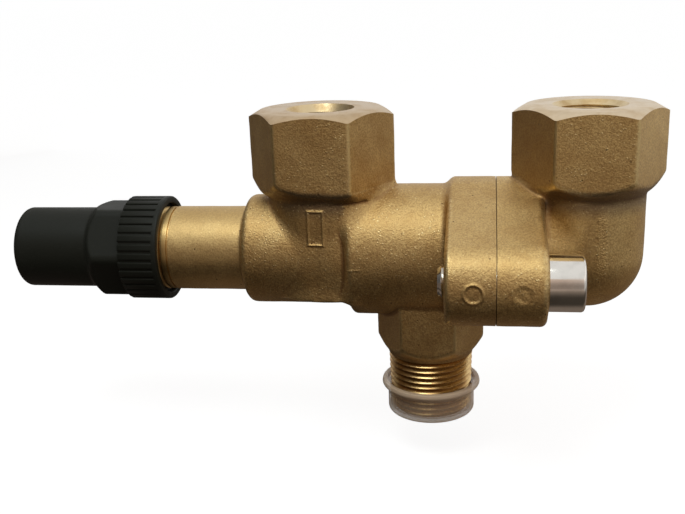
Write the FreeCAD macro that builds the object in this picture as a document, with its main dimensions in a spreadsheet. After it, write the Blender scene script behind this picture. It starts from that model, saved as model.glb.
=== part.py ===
import FreeCAD, Part
import math
import os
import Sketcher

# Changeover valve: a forged body with an inlet below, an outlet above its left end, and a bolted-on
# elbow that carries the second outlet. A screwed spindle moves a double-faced shutter between two seats.
#
# Millimetres. The origin is the centre of the inlet's end face, +Z runs up the inlet's axis, and +X
# runs along the main axis towards the elbow. The front of the valve faces -Y.

SIZES = {
    # Forged body, outside: reaches are from the inlet's axis, lengths run along the main axis
    "barrel_rad": 20.6,
    "barrel_reach": 25.6,
    "shoulder_rad": 17.35,
    "shoulder_len": 31.8,
    "neck_rad": 13.5,
    "neck_len": 37.1,
    "step_round": 1.5,
    # Two-eared flange joint between body and elbow
    "parting_reach": 20.4,
    "body_flange_len": 14.2,
    "elbow_flange_len": 13.8,
    "flange_rad": 22.7,
    "ear_reach": 33.2,
    "ear_rad": 12.2,
    "flange_round": 1.8,
    "flange_root_len": 2.2,
    # Outlet ports: hexagon, countersunk thread and passage, all vertical
    "left_port_reach": 33.1,
    "right_port_reach": 47.5,
    "port_height": 44.7,
    "port_hex_flats": 39.2,
    "port_corner_rad": 22.4,
    "split_gap": 0.1,
    "port_hex_len": 25.9,
    "port_under_len": 4.9,
    "port_face_rad": 18.7,
    "port_bevel_len": 2.1,
    "branch_rad": 17.0,
    "port_core_rad": 9.13,
    "port_thread_len": 17.5,
    "left_mouth_rad": 10.6,
    "left_mouth_len": 1.0,
    "right_mouth_rad": 11.05,
    "right_mouth_len": 1.6,
    "outlet_bore_rad": 8.0,
    # Elbow
    "elbow_rad": 17.2,
    "elbow_bore_rad": 9.5,
    # Inlet: hexagon, cone and tapered male pipe thread, whose taper is 1 in 16 on the diameter
    "inlet_hex_flats": 29.3,
    "inlet_corner_rad": 16.7,
    "inlet_hex_drop": 29.4,
    "inlet_cone_len": 3.4,
    "inlet_thread_rad": 13.45,
    "inlet_thread_len": 19.8,
    "inlet_thread_taper": 16.0,
    "inlet_bevel": 0.8,
    "inlet_bore_rad": 9.5,
    # Passages and seats inside
    "main_bore_rad": 9.5,
    "main_bore_past": 16.9,
    "chamber_rad": 14.5,
    "left_seat_reach": 14.5,
    "seat_rad": 11.2,
    "seat_rise": 1.0,
    "spigot_len": 3.0,
    "spigot_gap": 0.1,
    "gasket_rad": 17.8,
    "gasket_len": 1.5,
    # Flange screws, M10 socket head
    "screw_rad": 5.0,
    "screw_len": 30.0,
    "screw_bevel": 1.0,
    "head_rad": 8.0,
    "head_len": 10.0,
    "head_round": 0.9,
    "socket_flats": 8.0,
    "socket_deep": 5.0,
    "screw_hole_gap": 0.5,
    "tapped_gap": 0.03,
    # Shutter and its two seat seals
    "shutter_rad": 12.5,
    "shutter_len": 11.0,
    "seal_in_rad": 8.7,
    "seal_out_rad": 11.9,
    "seal_len": 3.0,
    "shutter_waist_rad": 10.8,
    "shutter_waist_len": 2.6,
    # Spindle
    "stem_rad": 6.0,
    "waist_rad": 5.0,
    "waist_len": 47.5,
    "stem_len": 49.0,
    "square_len": 14.0,
    "square_flats": 8.4,
    "journal_rad": 4.0,
    "journal_past": 3.2,
    "running_gap": 0.06,
    "clip_groove_rad": 3.5,
    "clip_len": 0.9,
    "clip_rad": 5.7,
    "clip_slot": 3.0,
    "thrust_washer_rad": 7.0,
    "thrust_washer_len": 0.8,
    # Packing box in the neck
    "box_rad": 10.0,
    "box_deep": 17.5,
    "packing_len": 3.0,
    "packing_gap": 0.05,
    "bottom_washer_len": 1.2,
    "follower_len": 1.5,
    "gland_hex_flats": 17.0,
    "gland_hex_len": 4.0,
    "gland_face_past": 0.27,
    # Spindle cap and its seal
    "cap_thread_rad": 13.56,
    "cap_skirt_len": 11.8,
    "cap_ring_rad": 16.8,
    "cap_ring_len": 12.1,
    "cap_hex_flats": 28.5,
    "cap_hex_corner_rad": 16.0,
    "cap_hex_len": 12.2,
    "cap_hex_blend": 3.0,
    "cap_tip_rad": 13.1,
    "cap_tip_len": 25.6,
    "cap_tip_round": 1.6,
    "cap_bore_rad": 10.6,
    "cap_end_wall": 2.8,
    "cap_mouth_rad": 14.6,
    "cap_mouth_len": 2.0,
    "rib_count": 36.0,
    "groove_wide": 0.8,
    "groove_deep": 0.55,
    "groove_len": 10.5,
    "cap_seal_in_rad": 10.9,
    "cap_seal_len": 1.5,
    # Push-on protector over the inlet's thread
    "protector_rad": 13.95,
    "protector_bore_rad": 13.27,
    "protector_height": 10.5,
    "protector_floor": 1.2,
    "protector_gap": 0.1,
    "protector_lip_rad": 15.8,
    "protector_lip_len": 1.2,
    "protector_round": 1.0,
    # Bare raised frame on the left branch, and the forging's round marks
    "frame_wide": 5.2,
    "frame_tall": 11.0,
    "frame_lift": 10.9,
    "frame_rise": 0.45,
    "frame_rim": 0.5,
    "frame_dish": 0.3,
    "mark_rad": 3.0,
    "mark_reach": 6.2,
    "mark_rise": 0.08,
    "mark_dish_rad": 2.4,
    "mark_dish_deep": 0.35,
    "mark_lift": 0.3,
    "dent_rad": 3.3,
    "dent_deep": 0.4,
}

document = FreeCAD.newDocument("changeover_valve")
Vector = FreeCAD.Vector

# Stations along the main axis, as expressions on the sheet
BARREL_LEFT = "(-Sizes.barrel_reach)"
SHOULDER_LEFT = f"({BARREL_LEFT} - Sizes.shoulder_len)"
NECK_LEFT = f"({SHOULDER_LEFT} - Sizes.neck_len)"
LEFT_PORT = "(-Sizes.left_port_reach)"
RIGHT_PORT = "Sizes.right_port_reach"
MAIN_BORE_LEFT = f"({LEFT_PORT} - Sizes.main_bore_past)"
LEFT_SEAT = "(-Sizes.left_seat_reach)"
PARTING = "Sizes.parting_reach"
FLANGE_LEFT = f"({PARTING} - Sizes.body_flange_len)"
FLANGE_RIGHT = f"({PARTING} + Sizes.elbow_flange_len)"
SPIGOT_LEFT = f"({PARTING} - Sizes.spigot_len)"
RIGHT_SEAT = f"({SPIGOT_LEFT} - Sizes.seat_rise)"
BOX_RIGHT = f"({NECK_LEFT} + Sizes.box_deep)"
SHUTTER_MIDDLE = f"(({LEFT_SEAT} + {RIGHT_SEAT}) / 2)"
SHUTTER_LEFT = f"({SHUTTER_MIDDLE} - Sizes.shutter_len / 2)"
SHUTTER_RIGHT = f"({SHUTTER_MIDDLE} + Sizes.shutter_len / 2)"
CAP_SHOULDER = f"({NECK_LEFT} - Sizes.cap_seal_len)"
CAP_MOUTH = f"({CAP_SHOULDER} + Sizes.cap_skirt_len)"

# Heights above the inlet's end
AXIS = "(Sizes.inlet_hex_drop + Sizes.inlet_cone_len + Sizes.inlet_thread_len)"
PORT_TOP = f"({AXIS} + Sizes.port_height)"
PORT_UNDER = f"({PORT_TOP} - Sizes.port_hex_len)"

# The forged body is one real piece. It is exported in three solids that meet at these two planes,
# right of the left hexagon and below the flange, so that each has simple collision.
SPLIT_RIGHT = f"({LEFT_PORT} + Sizes.port_corner_rad + Sizes.split_gap)"
SPLIT_LOW = f"({AXIS} - Sizes.flange_rad - Sizes.split_gap)"

TURNS = {
    "x": FreeCAD.Rotation(Vector(0, 0, 1), Vector(1, 0, 0)),
    "-y": FreeCAD.Rotation(Vector(0, 0, 1), Vector(0, -1, 0)),
    "z": FreeCAD.Rotation(),
}


def fill_sheet():
    """The sheet of driving dimensions, one plain number to a cell."""
    sheet = document.addObject("Spreadsheet::Sheet", "Sizes")
    for row, (alias, value) in enumerate(SIZES.items(), start=1):
        sheet.set(f"A{row}", str(value))
        sheet.setAlias(f"A{row}", alias)
    document.recompute()


def bind(thing, sizes):
    """Tie each property to its expression."""
    for name, words in sizes.items():
        thing.setExpression(name, words)
    return thing


def place(thing, x="0", y="0", z="0", axis="z"):
    """Stand a piece's own Z on the named axis, from the point given."""
    thing.Placement = FreeCAD.Placement(Vector(), TURNS[axis])
    return bind(thing, {"Placement.Base.x": x, "Placement.Base.y": y, "Placement.Base.z": z})


def cylinder(name, radius, length, **where):
    rod = document.addObject("Part::Cylinder", name)
    return place(bind(rod, {"Radius": radius, "Height": length}), **where)


def cone(name, first, second, length, **where):
    taper = document.addObject("Part::Cone", name)
    return place(bind(taper, {"Radius1": first, "Radius2": second, "Height": length}), **where)


def box(name, wide, deep, tall, **where):
    block = document.addObject("Part::Box", name)
    return place(bind(block, {"Length": wide, "Width": deep, "Height": tall}), **where)


def along(name, radius, left, right):
    """A cylinder on the main axis, between two stations."""
    return cylinder(name, radius, f"{right} - {left}", x=left, z=AXIS, axis="x")


def upright(name, radius, low, high, x="0"):
    """A vertical cylinder in the middle plane, between two heights."""
    return cylinder(name, radius, f"{high} - {low}", x=x, z=low)


def hexagon(name, flats, low, high, **where):
    """A six-sided bar with corners on its local X axis."""
    bar = document.addObject("Part::Prism", name)
    bar.Polygon = 6
    return place(bind(bar, {"Circumradius": f"{flats} / sqrt(3)", "Height": f"{high} - {low}"}), **where)


def fuse(name, pieces):
    joined = document.addObject("Part::MultiFuse", name)
    joined.Shapes = pieces
    joined.Refine = True
    return joined


def common(name, pieces):
    shared = document.addObject("Part::MultiCommon", name)
    shared.Shapes = pieces
    return shared


def cut(name, base, tools):
    """The base less all the tools."""
    less = document.addObject("Part::Cut", name)
    less.Base = base
    less.Tool = fuse(f"{name}_tools", tools) if len(tools) > 1 else tools[0]
    less.Refine = True
    return less


def plane_of(body, role):
    return next(item for item in body.Origin.OriginFeatures if item.Role == role)


def sketch_on(body, role, name):
    sketch = body.newObject("Sketcher::SketchObject", name)
    sketch.AttachmentSupport = [(plane_of(body, role), "")]
    sketch.MapMode = "FlatFace"
    return sketch


def tie(sketch, kind, first, second, words):
    """A sketch dimension between two points, driven by an expression."""
    number = sketch.addConstraint(Sketcher.Constraint(kind, *first, *second, 10.0))
    sketch.setExpression(f"Constraints[{number}]", words)


def outline(sketch, corners):
    """A closed outline of straight lines, each corner tied to the sheet."""
    count = len(corners)
    turn = 2 * math.pi / count
    start = [Vector(20 + 9 * math.cos(turn * i), 20 + 9 * math.sin(turn * i), 0) for i in range(count)]
    for i in range(count):
        sketch.addGeometry(Part.LineSegment(start[i], start[(i + 1) % count]), False)
    for i in range(count):
        sketch.addConstraint(Sketcher.Constraint("Coincident", i, 2, (i + 1) % count, 1))
    for i, (across, up) in enumerate(corners):
        for kind, words, axis in (("DistanceX", across, -2), ("DistanceY", up, -1)):
            if words == "0":
                sketch.addConstraint(Sketcher.Constraint("PointOnObject", i, 1, axis))
            else:
                tie(sketch, kind, (-1, 1), (i, 1), words)


def turned(label, corners, x, z=AXIS, spin="H_Axis"):
    """A turned piece: corners are (distance along, radius) about the main axis, or about a vertical
    axis with spin "V_Axis". Its own origin is at x, z."""
    body = document.addObject("PartDesign::Body", label)
    sketch = sketch_on(body, "XZ_Plane", f"{label}_section")
    outline(sketch, corners if spin == "H_Axis" else [(radius, length) for length, radius in corners])
    solid = body.newObject("PartDesign::Revolution", f"{label}_turned")
    solid.Profile = sketch
    solid.ReferenceAxis = (sketch, [spin])
    solid.Angle = 360
    place(body, x=x, z=z)
    document.recompute()
    return body


def ring(label, inner, outer, left, length):
    """A plain ring about the main axis."""
    return turned(label, [("0", inner), (length, inner), (length, outer), ("0", outer)], x=left)


def round_edges(body, name, radius, wanted):
    """Round each edge of the body's last feature for which wanted(edge) is true."""
    document.recompute()
    base = body.Tip
    names = [f"Edge{i}" for i, edge in enumerate(base.Shape.Edges, start=1) if wanted(edge)]
    rounded = body.newObject("PartDesign::Fillet", name)
    rounded.Base = (base, names)
    rounded.setExpression("Radius", radius)
    return rounded


def circle_at(distance, radius):
    """A test for a circle of that radius about the body's own X axis, at that distance along it."""
    def wanted(edge):
        curve = edge.Curve
        return (
            isinstance(curve, Part.Circle)
            and abs(abs(curve.Axis.x) - 1) < 1e-6
            and abs(curve.Center.x - distance) < 1e-4
            and abs(curve.Radius - radius) < 1e-4
        )
    return wanted


def either(*tests):
    return lambda edge: any(test(edge) for test in tests)


def hex_port(name, x):
    """One outlet's hexagon: turned corners, bevelled face and a cone below."""
    corner = "Sizes.port_corner_rad"
    bevel_low = f"({PORT_TOP} - Sizes.port_bevel_len)"
    under_high = f"({PORT_UNDER} + Sizes.port_under_len)"
    envelope = fuse(f"{name}_envelope", [
        cone(f"{name}_under", "Sizes.branch_rad", corner, "Sizes.port_under_len", x=x, z=PORT_UNDER),
        upright(f"{name}_sides", corner, under_high, bevel_low, x=x),
        cone(f"{name}_bevel", corner, "Sizes.port_face_rad", "Sizes.port_bevel_len", x=x, z=bevel_low),
    ])
    bar = hexagon(f"{name}_bar", "Sizes.port_hex_flats", PORT_UNDER, PORT_TOP, x=x, z=PORT_UNDER)
    return common(name, [bar, envelope])


def port_tools(name, x, mouth_rad, mouth_len):
    """What is cut out of one outlet: countersink, thread core and the passage down to the main axis."""
    thread_low = f"({PORT_TOP} - Sizes.port_thread_len)"
    return [
        cone(f"{name}_mouth", "Sizes.port_core_rad", mouth_rad, mouth_len, x=x, z=f"{PORT_TOP} - {mouth_len}"),
        upright(f"{name}_core", "Sizes.port_core_rad", thread_low, PORT_TOP, x=x),
        upright(f"{name}_passage", "Sizes.outlet_bore_rad", AXIS, thread_low, x=x),
    ]


def flange(label, left, length, outer_face):
    """Half of the joint: two ears joined to the centre disc by tangent sides, rounded on its outer face.
    outer_face is the distance of that face from the plate's left."""
    body = document.addObject("PartDesign::Body", label)
    sketch = sketch_on(body, "YZ_Plane", f"{label}_outline")
    disc, ear, reach = SIZES["flange_rad"], SIZES["ear_rad"], SIZES["ear_reach"]
    lean = math.acos((disc - ear) / reach)
    circles = (
        (Vector(0, 0, 0), disc, lean, math.pi - lean),
        (Vector(-reach, 0, 0), ear, math.pi - lean, math.pi + lean),
        (Vector(0, 0, 0), disc, math.pi + lean, 2 * math.pi - lean),
        (Vector(reach, 0, 0), ear, -lean, lean),
    )
    arcs = [
        sketch.addGeometry(Part.ArcOfCircle(Part.Circle(centre, Vector(0, 0, 1), radius), first, last), False)
        for centre, radius, first, last in circles
    ]
    for i, arc in enumerate(arcs):
        follower = arcs[(i + 1) % len(arcs)]
        ends = sketch.getPoint(arc, 2), sketch.getPoint(follower, 1)
        side = sketch.addGeometry(Part.LineSegment(*ends), False)
        sketch.addConstraint(Sketcher.Constraint("Tangent", arc, 2, side, 1))
        sketch.addConstraint(Sketcher.Constraint("Tangent", side, 2, follower, 1))
    top, rear, bottom, front = arcs
    for arc in (top, bottom):
        sketch.addConstraint(Sketcher.Constraint("Coincident", arc, 3, -1, 1))
    for arc in (rear, front):
        sketch.addConstraint(Sketcher.Constraint("PointOnObject", arc, 3, -1))
    tie(sketch, "DistanceX", (rear, 3), (-1, 1), "Sizes.ear_reach")
    tie(sketch, "DistanceX", (-1, 1), (front, 3), "Sizes.ear_reach")
    for arc, words in ((top, "flange_rad"), (bottom, "flange_rad"), (rear, "ear_rad"), (front, "ear_rad")):
        number = sketch.addConstraint(Sketcher.Constraint("Radius", arc, 10.0))
        sketch.setExpression(f"Constraints[{number}]", f"Sizes.{words}")
    plate = body.newObject("PartDesign::Pad", f"{label}_plate")
    plate.Profile = sketch
    plate.setExpression("Length", length)
    on_face = lambda edge: all(abs(v.Point.x - outer_face) < 1e-4 for v in edge.Vertexes)
    round_edges(body, f"{label}_rim", "Sizes.flange_round", on_face)
    return place(body, x=left, z=AXIS)


def body_outside():
    """The neck, shoulder and barrel in one turning, with rounded steps."""
    neck, shoulder, barrel = "Sizes.neck_rad", "Sizes.shoulder_rad", "Sizes.barrel_rad"
    first_step = "Sizes.neck_len"
    second_step = "(Sizes.neck_len + Sizes.shoulder_len)"
    end = f"({second_step} + Sizes.barrel_reach + {FLANGE_LEFT})"
    turning = turned("body_turning", [
        ("0", "0"), ("0", neck), (first_step, neck), (first_step, shoulder),
        (second_step, shoulder), (second_step, barrel), (end, barrel), (end, "0"),
    ], x=NECK_LEFT)
    one, two = SIZES["neck_len"], SIZES["neck_len"] + SIZES["shoulder_len"]
    steps = either(
        circle_at(one, SIZES["neck_rad"]), circle_at(one, SIZES["shoulder_rad"]),
        circle_at(two, SIZES["shoulder_rad"]), circle_at(two, SIZES["barrel_rad"]),
    )
    round_edges(turning, "body_turning_steps", "Sizes.step_round", steps)
    return turning


def inlet_outside():
    """The inlet's hexagon, its cone and the tapered length that carries the thread."""
    hex_low = "(Sizes.inlet_cone_len + Sizes.inlet_thread_len)"
    end_rad = "(Sizes.inlet_thread_rad - Sizes.inlet_thread_len / Sizes.inlet_thread_taper / 2)"
    bevel_rad = f"({end_rad} - Sizes.inlet_bevel)"
    bar = hexagon("inlet_bar", "Sizes.inlet_hex_flats", "Sizes.inlet_thread_len", AXIS,
                  z="Sizes.inlet_thread_len")
    envelope = fuse("inlet_envelope", [
        cone("inlet_cone", "Sizes.inlet_thread_rad", "Sizes.inlet_corner_rad", "Sizes.inlet_cone_len",
             z="Sizes.inlet_thread_len"),
        upright("inlet_sides", "Sizes.inlet_corner_rad", hex_low, AXIS),
    ])
    thread = cone("inlet_thread", end_rad, "Sizes.inlet_thread_rad", "Sizes.inlet_thread_len")
    bevel = cone("inlet_bevel", bevel_rad, f"{bevel_rad} + Sizes.inlet_thread_len",
                 "Sizes.inlet_thread_len")
    return [common("inlet_hexagon", [bar, envelope]), common("inlet_threaded", [thread, bevel])]


def bare_frame():
    """A low raised frame with nothing in it, on the branch's front."""
    front = "(Sizes.branch_rad + Sizes.frame_rise)"
    plate = box(
        "frame_plate", "Sizes.frame_wide", front, "Sizes.frame_tall",
        x=f"{LEFT_PORT} - Sizes.frame_wide / 2", y=f"-{front}",
        z=f"{AXIS} + Sizes.frame_lift - Sizes.frame_tall / 2",
    )
    dish = box(
        "frame_dish", "Sizes.frame_wide - 2 * Sizes.frame_rim", "Sizes.frame_dish",
        "Sizes.frame_tall - 2 * Sizes.frame_rim",
        x=f"{LEFT_PORT} - Sizes.frame_wide / 2 + Sizes.frame_rim", y=f"-{front}",
        z=f"{AXIS} + Sizes.frame_lift - Sizes.frame_tall / 2 + Sizes.frame_rim",
    )
    return cut("frame", plate, [dish])


EAR_TIP = "(Sizes.ear_reach + Sizes.ear_rad)"


def split_body(whole):
    """The body's three solids: left of the split, right of it, and the inlet below both."""
    wide = f"2 * ({EAR_TIP} + Sizes.split_gap)"
    front = f"-({EAR_TIP} + Sizes.split_gap)"
    tall = f"{PORT_TOP} - {SPLIT_LOW}"
    left = box("room_left", f"{SPLIT_RIGHT} - {NECK_LEFT}", wide, tall, x=NECK_LEFT, y=front, z=SPLIT_LOW)
    right = box("room_right", f"{PARTING} - {SPLIT_RIGHT}", wide, tall, x=SPLIT_RIGHT, y=front, z=SPLIT_LOW)
    below = box("room_below", "2 * Sizes.barrel_reach", wide, SPLIT_LOW, x=BARREL_LEFT, y=front)
    common("valve_body", [whole, left])
    common("valve_body_chamber", [whole, right])
    common("valve_body_inlet", [whole, below])


def make_body():
    """The forged body, with everything that is drilled and tapped in it."""
    slope = cone("flange_slope", "Sizes.barrel_rad", "Sizes.flange_rad",
                 "Sizes.flange_root_len + Sizes.flange_round",
                 x=f"{FLANGE_LEFT} - Sizes.flange_root_len", z=AXIS, axis="x")
    boss = cylinder("forging_mark", "Sizes.mark_rad", "Sizes.mark_rise + Sizes.ear_rad / 2",
                    x=f"{PARTING} - Sizes.mark_reach", y=f"-{EAR_TIP} + Sizes.ear_rad / 2",
                    z=f"{AXIS} + Sizes.mark_lift", axis="-y")
    outside = fuse("body_outside", [
        body_outside(),
        flange("body_flange", FLANGE_LEFT, "Sizes.body_flange_len", 0),
        slope,
        boss,
        upright("left_branch", "Sizes.branch_rad", AXIS, f"({PORT_UNDER} + Sizes.port_under_len)",
                x=LEFT_PORT),
        hex_port("left_hexagon", LEFT_PORT),
        *inlet_outside(),
        bare_frame(),
    ])
    tools = [
        *port_tools("left", LEFT_PORT, "Sizes.left_mouth_rad", "Sizes.left_mouth_len"),
        along("packing_box", "Sizes.box_rad", NECK_LEFT, BOX_RIGHT),
        along("spindle_thread_bore", "Sizes.stem_rad + Sizes.running_gap", BOX_RIGHT, MAIN_BORE_LEFT),
        along("main_bore", "Sizes.main_bore_rad", MAIN_BORE_LEFT, PARTING),
        cut("chamber", along("chamber_hole", "Sizes.chamber_rad", f"({LEFT_SEAT} - Sizes.seat_rise)", PARTING),
            [along("left_seat_land", "Sizes.seat_rad", f"({LEFT_SEAT} - Sizes.seat_rise)", LEFT_SEAT)]),
        along("gasket_recess", "Sizes.gasket_rad + Sizes.spigot_gap", f"({PARTING} - Sizes.gasket_len)",
              PARTING),
        upright("inlet_bore", "Sizes.inlet_bore_rad", "0", AXIS),
        cylinder("mark_dish", "Sizes.mark_dish_rad", "Sizes.mark_dish_deep + Sizes.mark_rise",
                 x=f"{PARTING} - Sizes.mark_reach", y=f"-{EAR_TIP} + Sizes.mark_dish_deep",
                 z=f"{AXIS} + Sizes.mark_lift", axis="-y"),
        *[
            cylinder(f"{side}_tapped_hole", "Sizes.screw_rad + Sizes.tapped_gap", "Sizes.body_flange_len",
                     x=FLANGE_LEFT, y=f"{sign}Sizes.ear_reach", z=AXIS, axis="x")
            for side, sign in (("front", "-"), ("rear", ""))
        ],
    ]
    split_body(cut("whole_body", outside, tools))


def make_elbow():
    """The forged elbow: its flange half, register spigot and seat, round corner and outlet."""
    outside = fuse("elbow_outside", [
        flange("elbow_flange", PARTING, "Sizes.elbow_flange_len", SIZES["elbow_flange_len"]),
        along("spigot", "Sizes.chamber_rad - Sizes.spigot_gap", SPIGOT_LEFT, PARTING),
        along("right_seat_land", "Sizes.seat_rad", RIGHT_SEAT, SPIGOT_LEFT),
        along("elbow_leg", "Sizes.elbow_rad", PARTING, RIGHT_PORT),
        place(bind(document.addObject("Part::Sphere", "elbow_corner"), {"Radius": "Sizes.elbow_rad"}),
              x=RIGHT_PORT, z=AXIS),
        upright("elbow_riser", "Sizes.elbow_rad", AXIS, f"({PORT_UNDER} + Sizes.port_under_len / 2)",
                x=RIGHT_PORT),
        hex_port("right_hexagon", RIGHT_PORT),
    ])
    tools = [
        *port_tools("right", RIGHT_PORT, "Sizes.right_mouth_rad", "Sizes.right_mouth_len"),
        along("elbow_bore", "Sizes.elbow_bore_rad", RIGHT_SEAT, f"({RIGHT_PORT} + Sizes.outlet_bore_rad)"),
        cylinder("dent", "Sizes.dent_rad", "Sizes.dent_deep",
                 x=f"({PARTING} + {FLANGE_RIGHT}) / 2", y=f"-{EAR_TIP} + Sizes.dent_deep", z=AXIS, axis="-y"),
        *[
            cylinder(f"{side}_screw_hole", "Sizes.screw_rad + Sizes.screw_hole_gap",
                     "Sizes.elbow_flange_len", x=PARTING, y=f"{sign}Sizes.ear_reach", z=AXIS, axis="x")
            for side, sign in (("front", "-"), ("rear", ""))
        ],
    ]
    cut("outlet_elbow", outside, tools)


def make_screw(label, sign):
    """A socket head cap screw, head to the right, with its tip through the body's ear."""
    tip = f"({FLANGE_RIGHT} - Sizes.screw_len)"
    shank_end = "Sizes.screw_len"
    head_end = "(Sizes.screw_len + Sizes.head_len)"
    screw = turned(label, [
        ("0", "0"), ("0", "Sizes.screw_rad - Sizes.screw_bevel"), ("Sizes.screw_bevel", "Sizes.screw_rad"),
        (shank_end, "Sizes.screw_rad"), (shank_end, "Sizes.head_rad"), (head_end, "Sizes.head_rad"),
        (head_end, "0"),
    ], x=tip)
    screw.setExpression("Placement.Base.y", f"{sign}Sizes.ear_reach")
    whole = SIZES["screw_len"] + SIZES["head_len"]
    round_edges(screw, f"{label}_rim", "Sizes.head_round", circle_at(whole, SIZES["head_rad"]))
    socket = hexagon(f"{label}_socket", "Sizes.socket_flats", "0", "Sizes.socket_deep",
                     x=f"{FLANGE_RIGHT} + Sizes.head_len - Sizes.socket_deep",
                     y=f"{sign}Sizes.ear_reach", z=AXIS, axis="x")
    screw.Label = f"{label}_blank"
    finished = cut(f"{label}_finished", screw, [socket])
    finished.Label = label
    return finished


def make_shutter():
    """The double-faced shutter: a waisted disc with a pocket for a seat seal in each face."""
    end = "Sizes.shutter_len"
    bore = "(Sizes.journal_rad + Sizes.running_gap)"
    low = "(Sizes.shutter_len / 2 - Sizes.shutter_waist_len / 2)"
    high = "(Sizes.shutter_len / 2 + Sizes.shutter_waist_len / 2)"
    right_pocket = f"({end} - Sizes.seal_len)"
    return turned("shutter", [
        ("0", bore), (end, bore), (end, "Sizes.seal_in_rad"), (right_pocket, "Sizes.seal_in_rad"),
        (right_pocket, "Sizes.seal_out_rad"), (end, "Sizes.seal_out_rad"), (end, "Sizes.shutter_rad"),
        (high, "Sizes.shutter_rad"), (high, "Sizes.shutter_waist_rad"), (low, "Sizes.shutter_waist_rad"),
        (low, "Sizes.shutter_rad"), ("0", "Sizes.shutter_rad"), ("0", "Sizes.seal_out_rad"),
        ("Sizes.seal_len", "Sizes.seal_out_rad"), ("Sizes.seal_len", "Sizes.seal_in_rad"),
        ("0", "Sizes.seal_in_rad"),
    ], x=SHUTTER_LEFT)


def make_spindle():
    """Square end, threaded stem, waist through the left seat, and a journal with a clip groove."""
    waist = "(Sizes.square_len + Sizes.stem_len)"
    journal = f"({waist} + Sizes.waist_len)"
    groove = f"({journal} + Sizes.shutter_len + Sizes.thrust_washer_len + Sizes.running_gap)"
    groove_end = f"({groove} + Sizes.clip_len + 2 * Sizes.running_gap)"
    end = f"({journal} + Sizes.shutter_len + Sizes.journal_past)"
    left = f"({SHUTTER_LEFT} - Sizes.waist_len - Sizes.stem_len - Sizes.square_len)"
    stem = turned("spindle_turning", [
        ("0", "0"), ("0", "Sizes.stem_rad"), (waist, "Sizes.stem_rad"), (waist, "Sizes.waist_rad"),
        (journal, "Sizes.waist_rad"), (journal, "Sizes.journal_rad"), (groove, "Sizes.journal_rad"),
        (groove, "Sizes.clip_groove_rad"), (groove_end, "Sizes.clip_groove_rad"),
        (groove_end, "Sizes.journal_rad"), (end, "Sizes.journal_rad"), (end, "0"),
    ], x=left)
    half = "Sizes.square_flats / 2"
    square = box("spindle_square", "Sizes.square_len", "Sizes.square_flats", "Sizes.square_flats",
                 x=left, y=f"-{half}", z=f"{AXIS} - {half}")
    collar = cylinder("spindle_end", "Sizes.stem_rad", "Sizes.square_len", x=left, z=AXIS, axis="x")
    return cut("spindle", stem, [cut("square_waste", collar, [square])])


def make_clip():
    """The open ring that holds the shutter on the spindle's journal."""
    left = f"({SHUTTER_RIGHT} + Sizes.thrust_washer_len + 2 * Sizes.running_gap)"
    inner = "Sizes.clip_groove_rad + Sizes.running_gap"
    band = ring("clip_band", inner, "Sizes.clip_rad", left, "Sizes.clip_len")
    gap = box("clip_opening", "Sizes.clip_len", "Sizes.clip_slot", "Sizes.clip_rad", x=left,
              y="-Sizes.clip_slot / 2", z=AXIS)
    return cut("shutter_clip", band, [gap])


def make_packing():
    """Washer, three packing rings, follower and gland nut, stacked in the neck's box."""
    inner = "(Sizes.stem_rad + Sizes.packing_gap)"
    outer = "(Sizes.box_rad - Sizes.packing_gap)"
    washer_left = f"({BOX_RIGHT} - Sizes.bottom_washer_len)"
    ring("packing_washer", inner, outer, washer_left, "Sizes.bottom_washer_len")
    for number, place_word in enumerate(("inner", "middle", "outer"), start=1):
        left = f"({washer_left} - {number} * Sizes.packing_len)"
        ring(f"packing_ring_{place_word}", inner, outer, left, "Sizes.packing_len")
    follower_left = f"({washer_left} - 3 * Sizes.packing_len - Sizes.follower_len)"
    ring("gland_follower", inner, outer, follower_left, "Sizes.follower_len")
    head_left = f"({NECK_LEFT} - Sizes.gland_hex_len)"
    bore = "Sizes.stem_rad + Sizes.running_gap"
    barrel = along("gland_barrel", outer, NECK_LEFT, follower_left)
    bar = hexagon("gland_bar", "Sizes.gland_hex_flats", head_left, NECK_LEFT, x=head_left, z=AXIS, axis="x")
    turned_end = "(Sizes.gland_hex_flats / 2 + Sizes.gland_face_past)"
    bevel = cone("gland_bevel", turned_end, f"{turned_end} + Sizes.gland_hex_len", "Sizes.gland_hex_len",
                 x=head_left, z=AXIS, axis="x")
    hole = along("gland_hole", bore, head_left, follower_left)
    nut = fuse("gland_solid", [common("gland_head", [bar, bevel]), barrel])
    cut("gland_nut", nut, [hole])


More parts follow.
